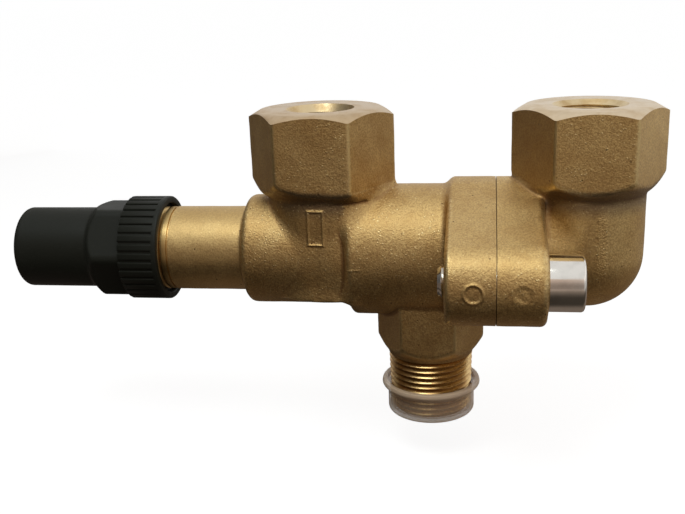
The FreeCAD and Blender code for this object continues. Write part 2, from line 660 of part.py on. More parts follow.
def make_cap():
    """Moulded cap: blind tip, hexagon, grooved ring and a bore that steps out to the neck's thread."""
    left = f"({CAP_SHOULDER} - Sizes.cap_hex_len - Sizes.cap_tip_len)"
    hex_start = "Sizes.cap_tip_len"
    ring_start = f"({hex_start} + Sizes.cap_hex_len)"
    shoulder = ring_start
    mouth = f"({shoulder} + Sizes.cap_skirt_len)"
    blend = f"({hex_start} + Sizes.cap_hex_blend)"
    tip = turned("cap_tip", [
        ("0", "0"), ("0", "Sizes.cap_tip_rad"), (blend, "Sizes.cap_tip_rad"), (blend, "0"),
    ], x=left)
    round_edges(tip, "cap_tip_rim", "Sizes.cap_tip_round", circle_at(0, SIZES["cap_tip_rad"]))
    envelope = turned("cap_hex_envelope", [
        (hex_start, "0"), (hex_start, "Sizes.cap_tip_rad"), (blend, "Sizes.cap_hex_corner_rad"),
        (ring_start, "Sizes.cap_hex_corner_rad"), (ring_start, "0"),
    ], x=left)
    bar = hexagon("cap_bar", "Sizes.cap_hex_flats", hex_start, ring_start, x=f"{left} + {hex_start}",
                  z=AXIS, axis="x")
    grip = turned("cap_grip", [
        (f"({mouth} - Sizes.cap_ring_len)", "0"), (f"({mouth} - Sizes.cap_ring_len)", "Sizes.cap_ring_rad"),
        (mouth, "Sizes.cap_ring_rad"), (mouth, "0"),
    ], x=left)
    groove = sketch_on(grip, "YZ_Plane", "cap_groove_section")
    half = "Sizes.groove_wide / 2"
    low = "(Sizes.cap_ring_rad - Sizes.groove_deep)"
    high = "(Sizes.cap_ring_rad + Sizes.groove_deep)"
    groove.setExpression("AttachmentOffset.Base.z", f"{mouth} - Sizes.cap_ring_len")
    outline(groove, [(f"-{half}", low), (half, low), (half, high), (f"-{half}", high)])
    first = grip.newObject("PartDesign::Pocket", "cap_groove")
    first.Profile = groove
    first.Reversed = True
    first.setExpression("Length", "Sizes.groove_len")
    document.recompute()
    spread = grip.newObject("PartDesign::PolarPattern", "cap_grooves")
    spread.Originals = [first]
    spread.Axis = (groove, ["N_Axis"])
    spread.Angle = 360
    spread.setExpression("Occurrences", "Sizes.rib_count")
    grip.Tip = spread
    document.recompute()
    outside = fuse("cap_outside", [tip, common("cap_hexagon", [bar, envelope]), grip])
    deep_end = f"({left} + Sizes.cap_end_wall)"
    tools = [
        along("cap_bore", "Sizes.cap_bore_rad", deep_end, CAP_SHOULDER),
        along("cap_thread_bore", "Sizes.cap_thread_rad", CAP_SHOULDER, CAP_MOUTH),
        along("cap_mouth", "Sizes.cap_mouth_rad", f"({CAP_MOUTH} - Sizes.cap_mouth_len)", CAP_MOUTH),
    ]
    cut("spindle_cap", outside, tools)
    ring("cap_seal", "Sizes.cap_seal_in_rad", "Sizes.neck_rad - Sizes.packing_gap", CAP_SHOULDER,
         "Sizes.cap_seal_len")


def make_protector():
    """The thin push-on cup over the inlet's thread, with a lip round its mouth."""
    floor = "Sizes.protector_floor"
    lip_low = "(Sizes.protector_height - Sizes.protector_lip_len)"
    rounding = "Sizes.protector_round"
    turned("thread_protector", [
        (floor, "0"), (floor, "Sizes.protector_bore_rad"),
        ("Sizes.protector_height", "Sizes.protector_bore_rad"),
        ("Sizes.protector_height", "Sizes.protector_lip_rad"), (lip_low, "Sizes.protector_lip_rad"),
        (lip_low, "Sizes.protector_rad"), (rounding, "Sizes.protector_rad"),
        ("0", f"(Sizes.protector_rad - {rounding})"), ("0", "0"),
    ], x="0", z="-(Sizes.protector_floor + Sizes.protector_gap)", spin="V_Axis")


def make_seals():
    """The two seat seals, the thrust washer and the flange gasket."""
    inner = "(Sizes.seal_in_rad + Sizes.packing_gap)"
    outer = "(Sizes.seal_out_rad - Sizes.packing_gap)"
    ring("seat_seal_left", inner, outer, SHUTTER_LEFT, "Sizes.seal_len")
    ring("seat_seal_right", inner, outer, f"({SHUTTER_RIGHT} - Sizes.seal_len)", "Sizes.seal_len")
    ring("thrust_washer", "Sizes.journal_rad + Sizes.running_gap", "Sizes.thrust_washer_rad",
         f"({SHUTTER_RIGHT} + Sizes.running_gap)", "Sizes.thrust_washer_len")
    ring("flange_gasket", "Sizes.chamber_rad + Sizes.spigot_gap", "Sizes.gasket_rad",
         f"({PARTING} - Sizes.gasket_len)", "Sizes.gasket_len")


NODES = (
    "valve_body", "valve_body_chamber", "valve_body_inlet", "outlet_elbow", "flange_gasket", "flange_screw_front", "flange_screw_rear",
    "shutter", "seat_seal_left", "seat_seal_right", "thrust_washer", "shutter_clip", "spindle",
    "packing_washer", "packing_ring_inner", "packing_ring_middle", "packing_ring_outer",
    "gland_follower", "gland_nut", "spindle_cap", "cap_seal", "thread_protector",
)


def check_and_export():
    """Stop on any failed object or bad shape, then write one STEP file for each node."""
    document.recompute()
    for item in document.Objects:
        if "Invalid" in item.State or "Error" in item.State:
            raise RuntimeError(f"{item.Label} failed: {item.State}")
    os.makedirs("parts", exist_ok=True)
    for node in NODES:
        piece = document.getObjectsByLabel(node)[0]
        shape = piece.Shape
        if shape.isNull() or not shape.isValid() or len(shape.Solids) != 1:
            raise RuntimeError(f"{node} is not one valid solid")
        shape.exportStep(f"parts/{node}.step")
        room = shape.BoundBox
        print(f"{node}: {shape.Volume / 1000:.2f} cm3, x {room.XMin:.2f} to {room.XMax:.2f}, "
              f"y {room.YMin:.2f} to {room.YMax:.2f}, z {room.ZMin:.2f} to {room.ZMax:.2f}")


fill_sheet()
make_body()
make_elbow()
make_screw("flange_screw_front", "-")
make_screw("flange_screw_rear", "")
make_shutter()
make_spindle()
make_clip()
make_seals()
make_packing()
make_cap()
make_protector()
check_and_export()
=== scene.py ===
"""Looks of a changeover valve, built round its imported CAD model.

The two brass forgings are rebuilt from a distance field, which gives them the soft creases of a
forging, and are then cut by turned tools, as a lathe cuts the real ones. Lengths in this file are
millimetres, and each mesh is scaled to metres as it is made.
"""

import logging
import math
from collections.abc import Callable, Iterable, Sequence
from dataclasses import dataclass
from enum import Enum
from typing import Any

import bmesh
import bpy
import numpy as np
import openvdb
from mathutils import Matrix, Vector, noise

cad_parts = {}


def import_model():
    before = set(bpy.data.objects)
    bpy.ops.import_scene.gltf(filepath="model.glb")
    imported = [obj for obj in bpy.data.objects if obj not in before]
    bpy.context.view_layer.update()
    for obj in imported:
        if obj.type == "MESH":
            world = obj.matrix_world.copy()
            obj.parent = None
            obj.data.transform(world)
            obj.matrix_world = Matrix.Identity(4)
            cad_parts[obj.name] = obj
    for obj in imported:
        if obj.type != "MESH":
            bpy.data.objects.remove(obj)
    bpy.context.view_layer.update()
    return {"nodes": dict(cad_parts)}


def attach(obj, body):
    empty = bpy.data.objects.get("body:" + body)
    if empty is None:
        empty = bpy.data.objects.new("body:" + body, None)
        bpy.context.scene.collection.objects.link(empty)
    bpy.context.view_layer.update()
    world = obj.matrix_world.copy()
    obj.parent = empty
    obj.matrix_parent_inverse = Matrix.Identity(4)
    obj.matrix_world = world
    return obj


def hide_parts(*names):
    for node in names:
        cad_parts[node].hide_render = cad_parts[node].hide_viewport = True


LOG = logging.getLogger("changeover_valve")
MM = 0.001
Array = np.ndarray
Point = tuple[float, float]
Triple = tuple[float, float, float]
Section = Sequence[tuple[float, ...]]
Material = bpy.types.Material
Piece = bpy.types.Object


class Axis(Enum):
    """The direction that a turned piece is turned about."""

    X = "x"
    Z = "z"

    def matrix(self) -> Matrix:
        """Return the rotation that brings +Z onto this axis."""
        return Matrix.Rotation(math.pi / 2, 4, "Y") if self is Axis.X else Matrix.Identity(4)


@dataclass(frozen=True)
class Spin:
    """A lathe's axis: its direction, and the point from which lengths along it count."""

    axis: Axis
    centre: Triple

    def matrix(self) -> Matrix:
        """Return the move that brings something made about +Z to its place, in metres."""
        return Matrix.Translation(Vector(self.centre) * MM) @ self.axis.matrix()


AXIS_Z = 52.6
MAIN = Spin(Axis.X, (0, 0, AXIS_Z))
UPRIGHT = Spin(Axis.Z, (0, 0, 0))


# Node trees


def maths(operation: str, swapped: bool = False) -> Callable[["Signal", "Value"], "Signal"]:
    """Return a method that runs a Math node on a signal and another value.

    Args:
        operation: The node's operation.
        swapped: Whether the other value comes first, for the reflected forms.

    Returns:
        The method.
    """

    def method(self: "Signal", other: "Value") -> "Signal":
        """Return the node's result."""
        return self.graph.math(operation, *((other, self) if swapped else (self, other)))

    return method


class Signal:
    """One output socket, with Python's operators for the maths nodes."""

    def __init__(self, graph: "Graph", socket: bpy.types.NodeSocket) -> None:
        """Wrap a socket of a graph."""
        self.graph = graph
        self.socket = socket

    __add__, __radd__ = maths("ADD"), maths("ADD", True)
    __sub__, __rsub__ = maths("SUBTRACT"), maths("SUBTRACT", True)
    __mul__, __rmul__ = maths("MULTIPLY"), maths("MULTIPLY", True)
    __truediv__, __rtruediv__ = maths("DIVIDE"), maths("DIVIDE", True)

    def clamped(self) -> "Signal":
        """Return self, held between 0 and 1."""
        return self.graph.math("MAXIMUM", self.graph.math("MINIMUM", self, 1.0), 0.0)


Value = float | int | Signal
Inputs = dict[str | int, Any]


class Graph:
    """A node tree under construction."""

    def __init__(self, tree: bpy.types.NodeTree) -> None:
        """Start on an empty tree."""
        self.tree = tree
        tree.nodes.clear()

    def node(self, kind: str, inputs: Inputs | None = None, output: str | int = 0, **settings: Any) -> Signal:
        """Add a node.

        Args:
            kind: The node's type.
            inputs: Values or signals by socket name or number.
            output: The name or number of the output to return.
            **settings: The node's own settings, set before its sockets.

        Returns:
            The chosen output.
        """
        made = self.tree.nodes.new(kind)
        for name, value in settings.items():
            setattr(made, name, value)
        for name, value in (inputs or {}).items():
            socket = made.inputs[name]
            if isinstance(value, Signal):
                self.tree.links.new(value.socket, socket)
            else:
                socket.default_value = value
        return Signal(self, made.outputs[output] if len(made.outputs) else None)

    def outputs(self, kind: str, inputs: Inputs | None = None) -> dict[str, Signal]:
        """Add a node and return its outputs by name."""
        made = self.node(kind, inputs).socket.node
        return {socket.name: Signal(self, socket) for socket in made.outputs}

    def math(self, operation: str, *values: Value) -> Signal:
        """Return the result of a Math node."""
        return self.node("ShaderNodeMath", dict(enumerate(values)), operation=operation)

    def vector(self, operation: str, *values: Any) -> Signal:
        """Return the vector result of a Vector Math node."""
        return self.node("ShaderNodeVectorMath", dict(enumerate(values)), operation=operation)

    def combine(self, x: Value, y: Value, z: Value) -> Signal:
        """Return a vector from three numbers."""
        return self.node("ShaderNodeCombineXYZ", {0: x, 1: y, 2: z})

    def separate(self, vector: Signal) -> tuple[Signal, Signal, Signal]:
        """Return a vector's three numbers."""
        made = self.outputs("ShaderNodeSeparateXYZ", {0: vector})
        return made["X"], made["Y"], made["Z"]


# Finishes


def linear(red: int, green: int, blue: int) -> Triple:
    """Return a colour given in 8-bit display values as linear light.

    Args:
        red: Red, from 0 to 255.
        green: Green, likewise.
        blue: Blue, likewise.

    Returns:
        Red, green and blue, from 0 to 1.
    """

    def channel(value: int) -> float:
        """Return one channel as linear light."""
        share = value / 255
        return share / 12.92 if share <= 0.04045 else ((share + 0.055) / 1.055) ** 2.4

    return channel(red), channel(green), channel(blue)


class Shader(Graph):
    """A material's nodes, with the patterns that these finishes share."""

    def __init__(self, name: str) -> None:
        """Start a new material.

        Args:
            name: The material's name.
        """
        self.material = bpy.data.materials.new(name)
        self.material.use_nodes = True
        super().__init__(self.material.node_tree)
        self.place = self.node("ShaderNodeTexCoord", output="Object")

    def grain(
        self, size: float, detail: float = 2.0, rough: float = 0.5, shift: Triple = (0, 0, 0)
    ) -> Signal:
        """Return noise from 0 to 1 whose lumps are about size millimetres across.

        Args:
            size: How far apart the lumps are, in millimetres.
            detail: How many finer layers are added.
            rough: How strong the finer layers are.
            shift: A move in millimetres, which sets two patterns apart.

        Returns:
            The noise.
        """
        where = self.vector("ADD", self.place, tuple(value * MM for value in shift))
        inputs = {"Vector": where, "Scale": 1 / (size * MM), "Detail": detail, "Roughness": rough}
        return self.node("ShaderNodeTexNoise", inputs)

    def cells(self, size: float) -> Signal:
        """Return the distance to the nearest of scattered points about size millimetres apart."""
        inputs = {"Vector": self.place, "Scale": 1 / (size * MM)}
        return self.node("ShaderNodeTexVoronoi", inputs, "Distance")

    def stretched(self, size: float, stretch: Triple, turn: Triple = (0, 0, 0)) -> Signal:
        """Return noise drawn out along one direction, for scratches and tool marks.

        Args:
            size: The marks' width, in millimetres.
            stretch: The scale along each axis. A small one draws the marks out.
            turn: The pattern's rotation, in radians.

        Returns:
            The noise.
        """
        inputs = {"Vector": self.place, "Rotation": turn, "Scale": stretch}
        mapped = self.node("ShaderNodeMapping", inputs)
        inputs = {"Vector": mapped, "Scale": 1 / (size * MM), "Detail": 2.0}
        return self.node("ShaderNodeTexNoise", inputs)

    def blend(self, share: Value, first: Any, second: Any) -> Signal:
        """Return a colour between two colours."""
        inputs = {"Factor": share, 6: self._opaque(first), 7: self._opaque(second)}
        return self.node("ShaderNodeMix", inputs, 2, data_type="RGBA", clamp_factor=True)

    @staticmethod
    def _opaque(color: Any) -> Any:
        """Return a colour with an alpha of 1, or a signal as it is."""
        return color if isinstance(color, Signal) else (*color, 1.0)

    def step(self, value: Signal, low: float, high: float) -> Signal:
        """Return a smooth step from 0 at low to 1 at high."""
        inputs = {"Value": value, "From Min": low, "From Max": high}
        return self.node("ShaderNodeMapRange", inputs, interpolation_type="SMOOTHSTEP")

    def attribute(self, name: str) -> Signal:
        """Return a number that is stored on the mesh."""
        return self.node("ShaderNodeAttribute", None, "Fac", attribute_name=name)

    def bump(self, height: Signal, depth: float) -> Signal:
        """Return a normal bent by a height, whose full range is depth millimetres."""
        inputs = {"Height": height, "Distance": depth * MM, "Strength": 1.0}
        return self.node("ShaderNodeBump", inputs)

    def surface(self, tone: Signal, rough: Signal, normal: Signal, **others: Any) -> Material:
        """Finish the material with one Principled shader and return it.

        Args:
            tone: Its colour.
            rough: Its roughness.
            normal: Its bent normal.
            **others: The shader's other sockets, by name.

        Returns:
            The material.
        """
        inputs = {"Base Color": tone, "Roughness": rough, "Normal": normal, **others}
        shader = self.node("ShaderNodeBsdfPrincipled", inputs)
        self.node("ShaderNodeOutputMaterial", {"Surface": shader})
        return self.material


@dataclass(frozen=True)
class ForgedBrass:
    """Shot-blasted brass: fine grain, brown in the hollows and bright where edges have rubbed."""

    bright: Triple = linear(214, 184, 126)
    middle: Triple = linear(198, 165, 108)
    brown: Triple = linear(152, 114, 72)
    rubbed: Triple = linear(230, 204, 146)
    # The colour of the painted shade under the outlets' hexagons.
    dark: Triple = linear(116, 102, 88)
    # The colour of the painted glints.
    glint: Triple = linear(252, 232, 176)
    speck: Triple = linear(72, 48, 28)
    grain_mm: float = 0.5
    pit_mm: float = 1.0
    grain_depth_mm: float = 0.2
    neck_right_mm: float = -57.8

    def material(self, name: str) -> Material:
        """Return the finish.

        Args:
            name: The material's name.

        Returns:
            The material.
        """
        shader = Shader(name)
        fine = shader.grain(self.grain_mm, 2.0, 0.6)
        place_x, _, _ = shader.separate(shader.place)
        neck = shader.step(place_x, (self.neck_right_mm + 1.0) * MM, self.neck_right_mm * MM)
        lines = shader.stretched(0.3, (1.0, 1.0, 0.14), (0.0, 0.7, 0.0))
        crossed = shader.stretched(0.5, (0.16, 1.0, 1.0), (0.0, 0.9, 0.2))
        scratched = neck * (lines * 0.6 + crossed * 0.4)
        pits = shader.grain(self.pit_mm, 1.0, 0.5, (31, 7, 5))
        clouds = shader.grain(14.0, 3.0, 0.55, (3, 19, 11))
        patches = shader.grain(5.0, 2.0, 0.5, (13, 2, 29))
        edge = shader.attribute("edge")
        rubbed = shader.step(edge + (pits - 0.5) * 1.1, 0.34, 0.66)
        hollow = shader.step((pits - 0.5) * 0.4 - edge, 0.10, 0.7)
        specks = shader.step(shader.cells(3.4), 0.1, 0.05) * shader.step(patches, 0.48, 0.56)
        coarse = shader.attribute("grain")
        # Painted glints: small bright spots blended into the colour, with less roughness and a lift in the
        # bump, more where the grain is deep.
        glints = shader.step(shader.cells(1.25), 0.24, 0.12) * shader.step(patches, 0.4, 0.55) * coarse
        brightness = shader.step(clouds + (patches - 0.5) * 0.4, 0.3, 0.72)
        tone = shader.blend(brightness, self.middle, self.bright)
        # Layers on the tone: grain, brown hollows, rubbed edges, painted shade under the hexagons, the neck's
        # scratches, specks and painted glints.
        for share, color in (
            (shader.step(fine, 0.62, 0.36) * 0.5, self.brown), (hollow * 0.75, self.brown),
            (rubbed * 0.5, self.rubbed), (shader.attribute("painted_shade") * 0.66, self.dark),
            (neck * 0.22, self.rubbed), (specks * 0.8, self.speck), (glints * 0.45, self.glint),
        ):
            tone = shader.blend(share, tone, color)
        height = (fine * 0.6 + pits * 0.4 + glints * 0.25) * coarse + scratched * 0.3 - specks * 0.3
        rough = (0.5 - rubbed * 0.12 - glints * 0.14 + (fine - 0.5) * 0.25 + (clouds - 0.5) * 0.1).clamped()
        return shader.surface(tone, rough, shader.bump(height, self.grain_depth_mm), Metallic=1.0)


@dataclass(frozen=True)
class TurnedBrass:
    """Brass cut on a lathe, with fine rings left by the tool."""

    color: Triple = linear(222, 200, 158)
    dull: Triple = linear(196, 166, 118)
    ring_mm: float = 0.16
    roughness: float = 0.34
    crest_mm: float = 0.0
    taper: float = 0.0
    # The colour of the painted shade in a thread's roots.
    root: Triple = linear(104, 70, 36)

    def material(self, name: str, spin: Spin, dullness: float) -> Material:
        """Return the finish for a face or barrel turned about an axis.

        Args:
            name: The material's name.
            spin: The axis of the lathe.
            dullness: How much of the surface has gone dull.

        Returns:
            The material.
        """
        shader = Shader(name)
        moved = shader.vector("SUBTRACT", shader.place, tuple(value * MM for value in spin.centre))
        x, y, z = shader.separate(moved)
        along, first, second = (x, y, z) if spin.axis is Axis.X else (z, x, y)
        across = shader.math("SQRT", first * first + second * second)
        rings = shader.combine(across / (self.ring_mm * MM), along / (self.ring_mm * MM), 0.0)
        lines = shader.node("ShaderNodeTexNoise", {"Vector": rings, "Scale": 1.0, "Detail": 1.0})
        stain = shader.step(shader.grain(6.0, 3.0, 0.6), 0.42, 0.7)
        tone = shader.blend(stain * dullness, self.color, self.dull)
        # Painted shade: towards a thread's root the tone turns to the root colour.
        if self.crest_mm:
            depth = along * self.taper + self.crest_mm * MM - across
            tone = shader.blend(shader.step(depth, 0.4 * MM, 1.15 * MM) * 0.65, tone, self.root)
        rough = (stain * 0.14 + (lines - 0.5) * 0.2 + self.roughness).clamped()
        return shader.surface(tone, rough, shader.bump(lines, 0.012), Metallic=1.0)


@dataclass(frozen=True)
class BrightSteel:
    """Plated steel, smooth and bright with faint drawn marks along it."""

    color: Triple = linear(232, 228, 220)
    roughness: float = 0.09
    smudged: Triple = linear(176, 172, 166)

    def material(self, name: str) -> Material:
        """Return the finish.

        Args:
            name: The material's name.

        Returns:
            The material.
        """
        shader = Shader(name)
        marks = shader.stretched(0.5, (0.06, 1.0, 1.0))
        smudge = shader.grain(4.0, 2.0, 0.5)
        tone = shader.blend(shader.step(smudge, 0.35, 0.75) * 0.3, self.color, self.smudged)
        rough = (smudge * 0.1 + (marks - 0.5) * 0.1 + self.roughness).clamped()
        return shader.surface(tone, rough, shader.bump(marks, 0.006), Metallic=1.0)


@dataclass(frozen=True)
class BlackPlastic:
    """Moulded black plastic with a fine satin skin."""

    color: Triple = linear(35, 37, 31)
    scuffed: Triple = linear(50, 51, 45)

    def material(self, name: str) -> Material:
        """Return the finish.

        Args:
            name: The material's name.

        Returns:
            The material.
        """
        shader = Shader(name)
        skin = shader.grain(0.28, 2.0, 0.6)
        flow = shader.grain(9.0, 2.0, 0.5)
        scuff = shader.step(shader.stretched(0.8, (0.25, 1.0, 0.6), (0.3, 0.2, 0.5)), 0.62, 0.74)
        tone = shader.blend(scuff * 0.35 + (flow - 0.5) * 0.3, self.color, self.scuffed)
        rough = (0.5 + (flow - 0.5) * 0.14 + (skin - 0.5) * 0.12 + scuff * 0.1).clamped()
        return shader.surface(tone, rough, shader.bump(skin, 0.02), **{"Specular IOR Level": 0.2})


@dataclass(frozen=True)
class MilkyPlastic:
    """Thin natural plastic that lets the thread behind it show through."""

    color: Triple = linear(250, 228, 198)
    cloudy: Triple = linear(238, 208, 176)
    thin_low_mm: float = 0.2
    thin_high_mm: float = 6.2

    def material(self, name: str) -> Material:
        """Return the finish.

        Args:
            name: The material's name.

        Returns:
            The material.
        """
        shader = Shader(name)
        cloud = shader.grain(3.0, 2.0, 0.5)
        _, _, z = shader.separate(shader.place)
        thin = shader.step(z, (self.thin_low_mm - 1.2) * MM, self.thin_low_mm * MM)
        thin = thin * shader.step(z, (self.thin_high_mm + 0.8) * MM, self.thin_high_mm * MM)
        edge_on = shader.node("ShaderNodeLayerWeight", {"Blend": 0.5}, "Facing")
        clear = thin * (1.0 - shader.step(edge_on, 0.5, 0.95))
        haze = (cloud - 0.5) * 0.1
        tone = shader.blend(cloud, self.color, self.cloudy)
        solid = (0.8 - clear * 0.54 + haze).clamped()
        return shader.surface(tone, 0.4 + haze, shader.bump(cloud, 0.05), IOR=1.5, Alpha=solid)


@dataclass(frozen=True)
class PlainFinish:
    """A hidden piece's finish: one tone with a little grain in it."""

    color: Triple
    metallic: float
    roughness: float

    def material(self, name: str) -> Material:
        """Return the finish.

        Args:
            name: The material's name.

        Returns:
            The material.
        """
        shader = Shader(name)
        grain = shader.grain(1.2, 3.0, 0.5)
        darker = tuple(value * 0.7 for value in self.color)
        tone = shader.blend(shader.step(grain, 0.35, 0.7), self.color, darker)
        rough = (self.roughness + (grain - 0.5) * 0.15).clamped()
        return shader.surface(tone, rough, shader.bump(grain, 0.02), Metallic=self.metallic)


# Meshes


def linked(name: str, data: bpy.types.ID) -> Piece:
    """Return a new object for a mesh, camera or light, linked to the scene.

    Args:
        name: The object's name.
        data: The mesh, camera or light.

    Returns:
        The object.
    """
    made = bpy.data.objects.new(name, data)
    bpy.context.scene.collection.objects.link(made)
    return made


def mesh_object(name: str, points: Array, faces: Iterable[Sequence[int]]) -> Piece:
    """Make an object from points in millimetres.

    Args:
        name: The piece's name.
        points: One row for each point.
        faces: Point numbers of each face, outwards by the right-hand rule.

    Returns:
        The object, at the origin, linked to the scene.
    """
    mesh = bpy.data.meshes.new(name)
    corners = [list(map(int, face)) for face in faces]
    mesh.from_pydata((np.asarray(points, float) * MM).tolist(), [], corners)
    mesh.validate()
    return linked(name, mesh)


def rounded_section(corners: Section, steps: int = 4) -> list[Point]:
    """Return a section's points, with an arc in place of each rounded corner.

    Args:
        corners: Distance along the axis, radius and, where a corner is rounded, the arc's radius.
        steps: How many edges stand for each arc.

    Returns:
        Distance along the axis and radius of each point.
    """
    points: list[Point] = []
    spots = [Vector(corner[:2]) for corner in corners]
    for here, (spot, corner) in enumerate(zip(spots, corners)):
        if len(corner) < 3:
            points.append((spot.x, spot.y))
            continue
        back = (spots[here - 1] - spot).normalized()
        ahead = (spots[(here + 1) % len(spots)] - spot).normalized()
        half = math.acos(max(-1.0, min(1.0, back.dot(ahead)))) / 2
        reach = corner[2] / math.tan(half)
        centre = spot + (back + ahead).normalized() * (corner[2] / math.sin(half))
        start, end = spot + back * reach - centre, spot + ahead * reach - centre
        sweep = start.angle_signed(end)
        for step in range(steps + 1):
            turned = Matrix.Rotation(-sweep * step / steps, 2) @ start
            points.append((centre.x + turned.x, centre.y + turned.y))
    return points


def turning(name: str, corners: Section, spin: Spin, material: Material, segments: int = 128) -> Piece:
    """Turn a closed section about an axis.

    Args:
        name: The piece's name.
        corners: The section's corners, in order round it.
        spin: What it turns about.
        material: Its finish.
        segments: How many flats stand for the circle.

    Returns:
        A closed mesh object.
    """
    turns = np.linspace(0, 2 * math.pi, segments, endpoint=False)
    points: list[Triple] = []
    rings: list[list[int]] = []
    for along, radius in rounded_section(corners):
        start = len(points)
        if radius < 1e-6:
            points.append((0.0, 0.0, along))
            rings.append([start] * segments)
        else:
            points.extend((radius * math.cos(t), radius * math.sin(t), along) for t in turns)
            rings.append(list(range(start, start + segments)))
    faces = []
    for first, second in zip(rings, rings[1:] + rings[:1]):
        if first[0] == first[1] and second[0] == second[1]:
            continue
        for i in range(segments):
            j = (i + 1) % segments
            faces.append(list(dict.fromkeys((first[i], first[j], second[j], second[i]))))
    turned = mesh_object(name, np.array(points), faces)
    turned.data.transform(spin.matrix())
    face_outwards(turned)
    smooth_by_angle(turned, 35)
    dress(turned, material)
    return turned


def rod(low: float, high: float, radius: float) -> Section:
    """Return the section of a plain cylinder."""
    return [(low, 0), (low, radius), (high, radius), (high, 0)]


def face_outwards(piece: Piece) -> None:
    """Turn every face of a closed mesh outwards.

    Args:
        piece: The mesh object.
    """
    shape = bmesh.new()
    shape.from_mesh(piece.data)
    bmesh.ops.recalc_face_normals(shape, faces=shape.faces)
    shape.to_mesh(piece.data)
    shape.free()


def smooth_by_angle(piece: Piece, degrees: float) -> None:
    """Shade a mesh smooth, except across edges sharper than the angle."""
    piece.data.shade_smooth()
    piece.data.set_sharp_from_angle(angle=math.radians(degrees))


def dress(piece: Piece, *materials: Material) -> None:
    """Give a piece its finishes, in slot order.

    Args:
        piece: The mesh object.
        *materials: Its finishes.
    """
    piece.data.materials.clear()
    for material in materials:
        piece.data.materials.append(material)


def cut(piece: Piece, tools: Sequence[Piece]) -> None:
    """Cut tools out of a closed piece, and leave their finish on the cut faces.

    Args:
        piece: What is cut. Its own finish is in its first slot.
        tools: Closed meshes, which are deleted afterwards.
    """
    for tool in tools:
        for material in tool.data.materials:
            if material.name not in piece.data.materials:
                piece.data.materials.append(material)
        modifier = piece.modifiers.new("cut", "BOOLEAN")
        modifier.operation = "DIFFERENCE"
        modifier.solver = "MANIFOLD"
        modifier.object = tool
        modifier.material_mode = "TRANSFER"
        graph = bpy.context.evaluated_depsgraph_get()
        result = bpy.data.meshes.new_from_object(piece.evaluated_get(graph))
        piece.modifiers.remove(modifier)
        old = piece.data
        piece.data = result
        bpy.data.meshes.remove(old)
        bpy.data.objects.remove(tool)


# Distance fields. Each function returns how far points lie outside a shape, in millimetres.


def plate(outline: Array, along: Array, low: float, high: float, rounding: float) -> Array:
    """Distance from an outline given thickness along an axis, with rounded edges.

    Args:
        outline: Distance from the outline in its own plane.
        along: Places along the axis.
        low: Where the thickness starts.
        high: Where it ends.
        rounding: The radius of the edges.

    Returns:
        The distance in millimetres, negative inside.
    """
    side = outline + rounding
    end = np.abs(along - (low + high) / 2) - (high - low) / 2 + rounding
    outside = np.hypot(np.maximum(side, 0), np.maximum(end, 0))
    return np.minimum(np.maximum(side, end), 0) + outside - rounding


def bar(along: Array, across: Array, low: float, high: float, radius: float, rounding: float) -> Array:
    """Distance from a round bar with rounded ends."""
    return plate(across - radius, along, low, high, rounding)


def ramp(value: Array, start: float, length: float) -> Array:
    """Return 0 up to the start, rising to 1 over the length. A negative length rises downwards."""
    return np.clip((value - start) / length, 0, 1)


def union(first: Array, second: Array, fillet: float) -> Array:
    """Join two shapes, with a fillet in the corner between them."""
    hollow = np.hypot(np.maximum(fillet - first, 0), np.maximum(fillet - second, 0))
    return np.maximum(fillet, np.minimum(first, second)) - hollow


def overlap(first: Array, second: Array, rounding: float) -> Array:
    """Keep what is inside both shapes, with the new edge rounded."""
    return -union(-first, -second, rounding)


def hexagon(x: Array, y: Array, flats: float, rounding: float) -> Array:
    """Distance from an endless hexagonal bar with corners towards +X and -X.

    Args:
        x: Places towards a corner.
        y: Places towards a flat.
        flats: The width across flats.
        rounding: The radius of the corners.

    Returns:
        The distance in millimetres, negative inside.
    """
    front = np.abs(y) - flats / 2
    slope = np.abs(x) * math.cos(math.pi / 6) + np.abs(y) * math.sin(math.pi / 6) - flats / 2
    return overlap(front, slope, rounding)


def cone_below(across: Array, up: Array, low: Point, high: Point) -> Array:
    """Distance from the outside of a cone that widens upwards from low to high, as (radius, height).

    Args:
        across: Distances from the cone's axis.
        up: Heights along it.
        low: Radius and height of a point on the cone.
        high: Radius and height of a higher one.

    Returns:
        The distance in millimetres, negative inside.
    """
    run, rise = high[0] - low[0], high[1] - low[1]
    length = math.hypot(run, rise)
    return ((across - low[0]) * rise - (up - low[1]) * run) / length


def two_ears(side: Array, up: Array, disc: float, ear: float, reach: float) -> Array:
    """Distance from the outline of a disc joined to an ear on each side by tangents.

    Args:
        side: Places towards the ears.
        up: Places across them.
        disc: The disc's radius.
        ear: Each ear's radius.
        reach: How far each ear's centre lies from the disc's.

    Returns:
        The distance in millimetres, negative inside.
    """
    lean = (disc - ear) / reach
    rise = math.sqrt(1 - lean * lean)
    high, out = np.abs(up), np.abs(side)
    split = -lean * high + rise * out
    in_disc = np.hypot(high, out) - disc
    in_ear = np.hypot(high, out - reach) - ear
    between = high * rise + out * lean - disc
    return np.where(split < 0, in_disc, np.where(split > rise * reach, in_ear, between))


FieldFunction = Callable[[Array, Array, Array], Array]


